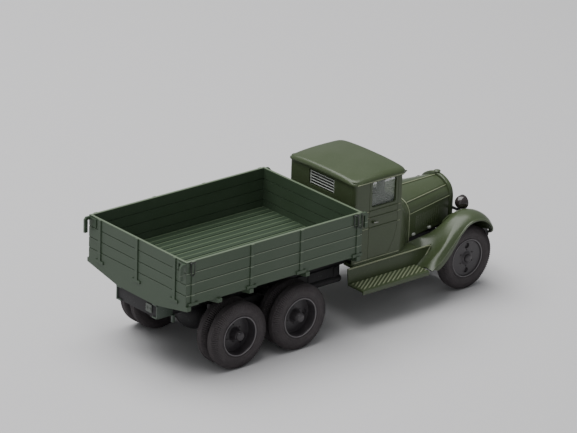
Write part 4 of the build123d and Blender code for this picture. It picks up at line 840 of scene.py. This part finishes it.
def treadBar(start):
    # half a round strip along a slanting line, cut off square to the board
    slant = board["barSlant"]
    low = max(0.0, (board["rearX"] + board["barMargin"] - start) / slant)
    high = min(1.0, (board["frontX"] - board["barMargin"] - start) / slant)
    if high - low < 0.08:
        return []
    t, bow = np.linspace(low, high, 7)[:, None], np.linspace(0, np.pi, 7)[None, :]
    bar = sheetOf(start + slant * t - np.cos(bow) * board["barWidth"],
                  board["barStart"] - board["outer"] + board["barSpan"] * t,
                  board["top"] - 0.03 + np.sin(bow) * board["barHeight"])
    under = bar.copy()
    under[..., 2] = board["top"] - 0.1
    return [shell(bar, under)]


def makeBoard():
    outer, top, low = -board["outer"], board["top"], board["top"] - board["sheet"]
    inner = 0.3 - board["inner"]
    step = [(inner, top), (outer, top), (outer, top - board["roll"]),
            (outer + 0.5, top - board["roll"]), (outer + 0.5, low), (inner, low)]
    sheet = slab(roundCorners(step, 0.3, 4), "yz", board["rearX"], board["frontX"])
    # the apron's wall leans out towards its foot by a power of a sine, and its front end follows
    # the fender by a square root
    u, v = grid(41, 15)
    z = low + (board["apronTop"] - low) * v
    rise = ramp(z, top, board["apronTop"]) ** 0.5
    endX = board["toeX"] + (board["tipX"] - board["toeX"]) * rise
    y = board["inner"] - board["lean"] * np.sin(np.pi / 2 * v) ** 1.5
    apron = sheetOf(board["rearX"] + (endX - board["rearX"]) * u, -y, z)
    arms = [slab(roundCorners(board["arm"], 0.2, 2), "yz", x, x + 1.2) for x in board["armX"]]
    return [sheet, shell(apron, apron + (0, 0.45, 0))] + arms, apron[-1]


def makeTread(apronEnd):
    first, last = board["rearX"] - board["barSlant"] + 1.6, board["frontX"] - 1.4
    bars = [bar for start in np.linspace(first, last, board["bars"]) for bar in treadBar(start)]
    endLine = apronEnd[:2:-1]
    rearEnd = (board["rearX"] + 0.1, board["lean"] - board["inner"], board["apronTop"] - 0.1)
    bead = np.vstack([[rearEnd], endLine[:1] - (0.6, 0, 0.1), endLine[1:]])
    return bars + [tube(spaced(roundCorners(bead, 0.8, 4, closed=False), 70), 0.24,
                        side=(0, 1, 0.01))]


boardParts, apronEnd = makeBoard()
treadParts = makeTread(apronEnd)
for side in ("right", "left"):
    piece(f"{side}Board", onSide(side, boardParts), "body_green",
          replaces=[f"running_board_{side}"])
    # the tread bars and the apron's bead carry a painted highlight
    piece(f"{side}Tread", onSide(side, treadParts), "body_green", finish="highlightGreen")

# Sill: the strip that closes the cab's foot down to the apron, with a bead along it
sill = dict(box=((7.4, -16.75, 18.7), (36.0, -12.2, 19.72)), beadRadius=0.17,
            bead=[(7.5, -16.7, 19.55), (20, -16.7, 19.55), (28.6, -16.7, 19.55)])
piece("cabSills", bothSides([block(*sill["box"]), tube(sill["bead"], sill["beadRadius"])]),
      "body_green")
print("boards made")

# Axle housings: a tube that swells by a power of a circle into the bowl, and a nose for the shafts
housing = dict(end=14.1, tube=1.7, bowl=5.2, half=6.1, noseZ=14.2, nose=[
    (-5.55, 0), (-5.55, 1.15), (-5.4, 1.35), (-4.2, 1.4), (-4.1, 1.4), (4.1, 1.4), (4.2, 1.4),
    (5.4, 1.35), (5.55, 1.15), (5.55, 0)])
run = np.concatenate([np.linspace(-housing["end"], -6.6, 5), np.linspace(-6.2, 6.2, 33),
                      np.linspace(6.6, housing["end"], 5)])
swell = np.sqrt(np.clip(1 - (run / housing["half"]) ** 2, 0, 1)) ** 1.15
radii = housing["tube"] + (housing["bowl"] - housing["tube"]) * swell
bowl = [(-housing["end"], 0.0), *zip(run, radii), (housing["end"], 0.0)]
for axle in ("middle", "rear"):
    x = axles[axle]["x"]
    piece(f"{axle}Housing", [turned(bowl, (x, 0, axleZ), (0, 1, 0), 56),
                             turned(housing["nose"], (x, 0, housing["noseZ"]), (1, 0, 0), 28)],
          "chassis_black", replaces=[f"{axle}_axle_housing"], sharp=40)
print("housings made")

# Bars across the rear window in two uprights, and a dark pane behind them
bars = dict(x=7.72, half=6.1, radius=0.16, heights=(42.2, 43.2, 44.2, 45.2, 46.2),
            upright=(41.9, 44.2, 46.5))
barParts = [tube([(bars["x"], y, z) for y in (-bars["half"], 0, bars["half"])], bars["radius"],
                 side=(0, 0, 1), segments=8) for z in bars["heights"]]
barParts += bothSides([tube([(bars["x"], bars["half"] - 0.25, z) for z in bars["upright"]], 0.2,
                            side=(1, 0, 0), segments=8)])
piece("rearPane", [slab(oblong(-6.25, 6.25, 41.65, 46.75, 0.5), "yz", 8.05, 8.3, 0.05)],
      "cabin_black", sharp=50)
piece("rearWindowBars", barParts, "guard_grey", replaces=["rear_guard"], sharp=50)

# Raised lines of the body, with a painted highlight: hinges on the hood's right and crown, the
# band round the cowl, and strips along the cab as rear end, front end, y, z, rise at the middle and
# radius
edging = dict(hinge=0.14, crown=0.17, bandX=36.42, band=(11.62, 29.66, 9.6, 32.98, 35.1), strips=[
    *[(7.6, 27.6, -16.52, z, 0, 0.1) for z in (37.2, 34.9, 31.3)],
    (8.2, 28.2, -17.0, 47.72, 0.1, 0.16), (8.0, 27.6, -16.52, 20.35, 0, 0.1)])
hoodRun = np.linspace(hood["rearX"] + 0.1, hood["frontX"] - 0.1, 7)
halfWidth, sideTop, shoulderY, shoulderZ, top = hoodAt(hoodRun)
edgeParts = [tube(sheetOf(hoodRun, -(halfWidth + 0.06), sideTop - 0.15), edging["hinge"]),
             tube(sheetOf(hoodRun, -(shoulderY + 0.05), shoulderZ + 0.06), edging["hinge"]),
             tube(sheetOf(hoodRun, 0, top + 0.02), edging["crown"])]
band = sectionOf(edging["band"], 19.9, 0.02)
bandPath = spaced(sheetOf(edging["bandX"], band[:, 0], band[:, 1]), 120)
edgeParts.append(tube(bandPath, edging["crown"], side=(1, 0, 0), segments=8))
for rear, front, y, z, rise, radius in edging["strips"]:
    edgeParts += bothSides([tube([(rear, y, z), (18, y, z + rise), (front, y, z)], radius)])
piece("bodyEdging", edgeParts, "body_green", finish="highlightGreen", sharp=60)

# Door handles: a short lever on a round rose
lever = dict(rose=(15.85, -16.5, 33.2), radii=[0.2, 0.2, 0.13],
             line=[(-0.2, -0.68, 0.02), (0.8, -0.72, 0), (1.7, -0.62, -0.1)],
             profile=[(0, 0), (0, 0.42), (0.2, 0.4), (0.35, 0.22), (0.75, 0.2), (0.8, 0)])
piece("doorHandles", bothSides([turned(lever["profile"], lever["rose"], segments=20),
                                tube(np.array(lever["line"]) + lever["rose"], lever["radii"])]),
      "steel", sharp=40)

# Rim rings, brighter with a painted highlight along the wheel's edge
ringLine = [(0.16 * math.cos(a) - 0.1, 0.16 * math.sin(a) + 6.52) for a in around(10)]
for axle, at in axles.items():
    ring = turned(fromFace(at["bandEnd"], ringLine), (at["x"], 0, axleZ), segments=144, ring=True)
    piece(f"{axle}RimRings", bothSides([ring]), "wheel_green", f"{axle}_wheelset",
          finish="rimHighlight", sharp=60)

# Ends of the frame rails, short channels of three walls, and the hooks under them: each a box
# from its lowest corner to its highest
railEnd = dict(web=((-69.15, -10.55, 18.0), (-62.6, -10.1, 22.85)),
               top=((-69.15, -10.55, 22.35), (-68.7, -8.0, 22.85)),
               foot=((-69.15, -10.55, 18.0), (-68.7, -8.0, 18.5)))
hook = ((-63.3, -11.3, 15.7), (-62.3, -10.35, 18.4))
piece("railEnds", bothSides([block(*box) for box in railEnd.values()])
      + bothSides([block(*hook, 0.12)]), "body_green", finish="dullGreen")

# A blank plate between them, right of the middle, with two eyelets
plate = dict(x=-68.6, face=-69.05, outline=(-7.6, -4.6, 19.2, 22.0), eyelets=(-6.85, -5.35),
             eyeZ=20.6, eyelet=[(0.35, 0), (0.35, 0.5), (0.48, 0.55), (0.62, 0.5), (0.62, 0.28),
                                (0.5, 0.2), (0.5, 0)])
plateParts = [slab(oblong(*plate["outline"], 0.3), "yz", plate["x"], plate["face"], 0.1)]
plateParts += [turned(plate["eyelet"], (plate["x"], y, plate["eyeZ"]), (-1, 0, 0), 16)
               for y in plate["eyelets"]]
piece("rearPlate", plateParts, "guard_grey", finish="dullGrey")

# Bearers of the bed along the rails, and the stops under the rails over both rear axles
bearers = bothSides([block((-67.8, -10.3, 22.75), (2.3, -8.2, 27.35), 0.12)])
bearers += bothSides([block((x - 1.7, -10.9, 15.9), (x + 1.7, -9.3, 18.15), 0.15)
                      for x in (rearX, middleX)])
piece("bedBearers", bearers, "chassis_black")

# Muffler: a drum with pressed ends and rings, its tail pipe, and a plate and two straps that
# hang it from the rail
muffler = dict(place=(0, -10.4, 13.7), pipe=(-13.5, -11.5, -8.6), pipeRadius=0.55,
               straps=(-6.8, 4.2), plate=((-12.8, -10.95, 14.6), (6.9, -10.35, 18.3)), drum=[
    (-8.9, 0), (-8.9, 0.9), (-8.7, 1.15), (-8.4, 1.3), (-8.1, 1.3), (-8.05, 1.22), (-7.9, 1.22),
    (-7.85, 1.3), (6.1, 1.3), (6.15, 1.22), (6.3, 1.22), (6.35, 1.3), (6.9, 1.3), (7.3, 1.1),
    (7.45, 0.8), (7.45, 0)])
pipe = [(x, *muffler["place"][1:]) for x in muffler["pipe"]]
straps = [block((x, -11.15, 14.5), (x + 0.9, -9.4, 18.1)) for x in muffler["straps"]]
piece("exhaustDrum", [turned(muffler["drum"], muffler["place"], (1, 0, 0), 40),
                      tube(pipe, muffler["pipeRadius"], segments=16),
                      block(*muffler["plate"], 0.12)] + straps,
      "chassis_black", replaces=["muffler"], sharp=40)

# Bed corner latches: wire bails, each a loop that hangs from its pins and leans out, and catches
bail = dict(wire=0.17, drop=4.6, half=0.75, y=-25.2, at=((-66.9, 42.0), (0.6, 42.0), (2.4, 41.6)),
            catches=(-66.9, 0.6))


def bailAt(x, z):
    shape = [(-1, 0, 0), (-1, 0.25, 0.8), (0, 0.35, 1), (1, 0.25, 0.8), (1, 0, 0)]
    line = [(x + a * bail["half"], bail["y"] - b, z - bail["drop"] * c) for a, b, c in shape]
    return tube(spaced(roundCorners(line, 0.6, 4, closed=False), 40), bail["wire"],
                side=(0, 1, 0.02), segments=8)


latches = [bailAt(x, z) for x, z in bail["at"]]
latches += [block((x - 1.0, -25.6, 41.6), (x + 1.0, -24.9, 42.15), 0.12) for x in bail["catches"]]
piece("cornerBails", bothSides(latches), "chassis_black", finish="rubbedBlack", sharp=50)

# Rib moulded in the cab's window insert, behind the windscreen's right half
piece("windowRib", [slab(oblong(24.9, 26.7, -9.7, -7.2, 0.4), "xy", 38.3, 47.5, 0.15)],
      "guard_grey", finish="dullGrey")
print("trim made")

# Floor and light, in metres: each lamp's place, target, size and power
studio = dict(floorSize=4.0, floorZ=-2e-5, floor=tone(200, 199, 200), sky=(0.96, 0.98, 1.0, 1),
              skyPower=0.36, lamps=dict(keyLight=((-0.15, 0.25, 1.0), (0, 0, 0), 1.1, 18.5),
                                        fillLight=((-0.9, -0.5, 0.5), (0, 0, 0.02), 0.8, 0.6)))


def areaLight(name, place, target, size, power):
    data = bpy.data.lights.new(name, "AREA")
    data.size, data.energy = size, power
    light = placed(name, data)
    light.location = place
    light.rotation_mode = "QUATERNION"
    light.rotation_quaternion = (Vector(target) - Vector(place)).to_track_quat("-Z", "Y")


def makeStudio():
    half, z = studio["floorSize"], studio["floorZ"]
    mesh = bpy.data.meshes.new("studioFloor")
    mesh.from_pydata([(-half, -half, z), (half, -half, z), (half, half, z), (-half, half, z)],
                     [], [(0, 1, 2, 3)])
    paint = Paint("studioFloorPaper")
    grain = paint.noise(300, 2, 0.5)
    colour = paint.mix(grain, studio["floor"], blend(studio["floor"], white, 0.02))
    mesh.materials.append(paint.finish(colour=colour, roughness=0.85, specular=0.1))
    floor = placed("studioFloor", mesh)
    world = bpy.data.worlds.new("studioSky")
    world.use_nodes = True
    sky = world.node_tree.nodes["Background"]
    sky.inputs["Color"].default_value = studio["sky"]
    sky.inputs["Strength"].default_value = studio["skyPower"]
    bpy.context.scene.world = world
    for name, values in studio["lamps"].items():
        areaLight(name, *values)


makeStudio()
print("studio made")
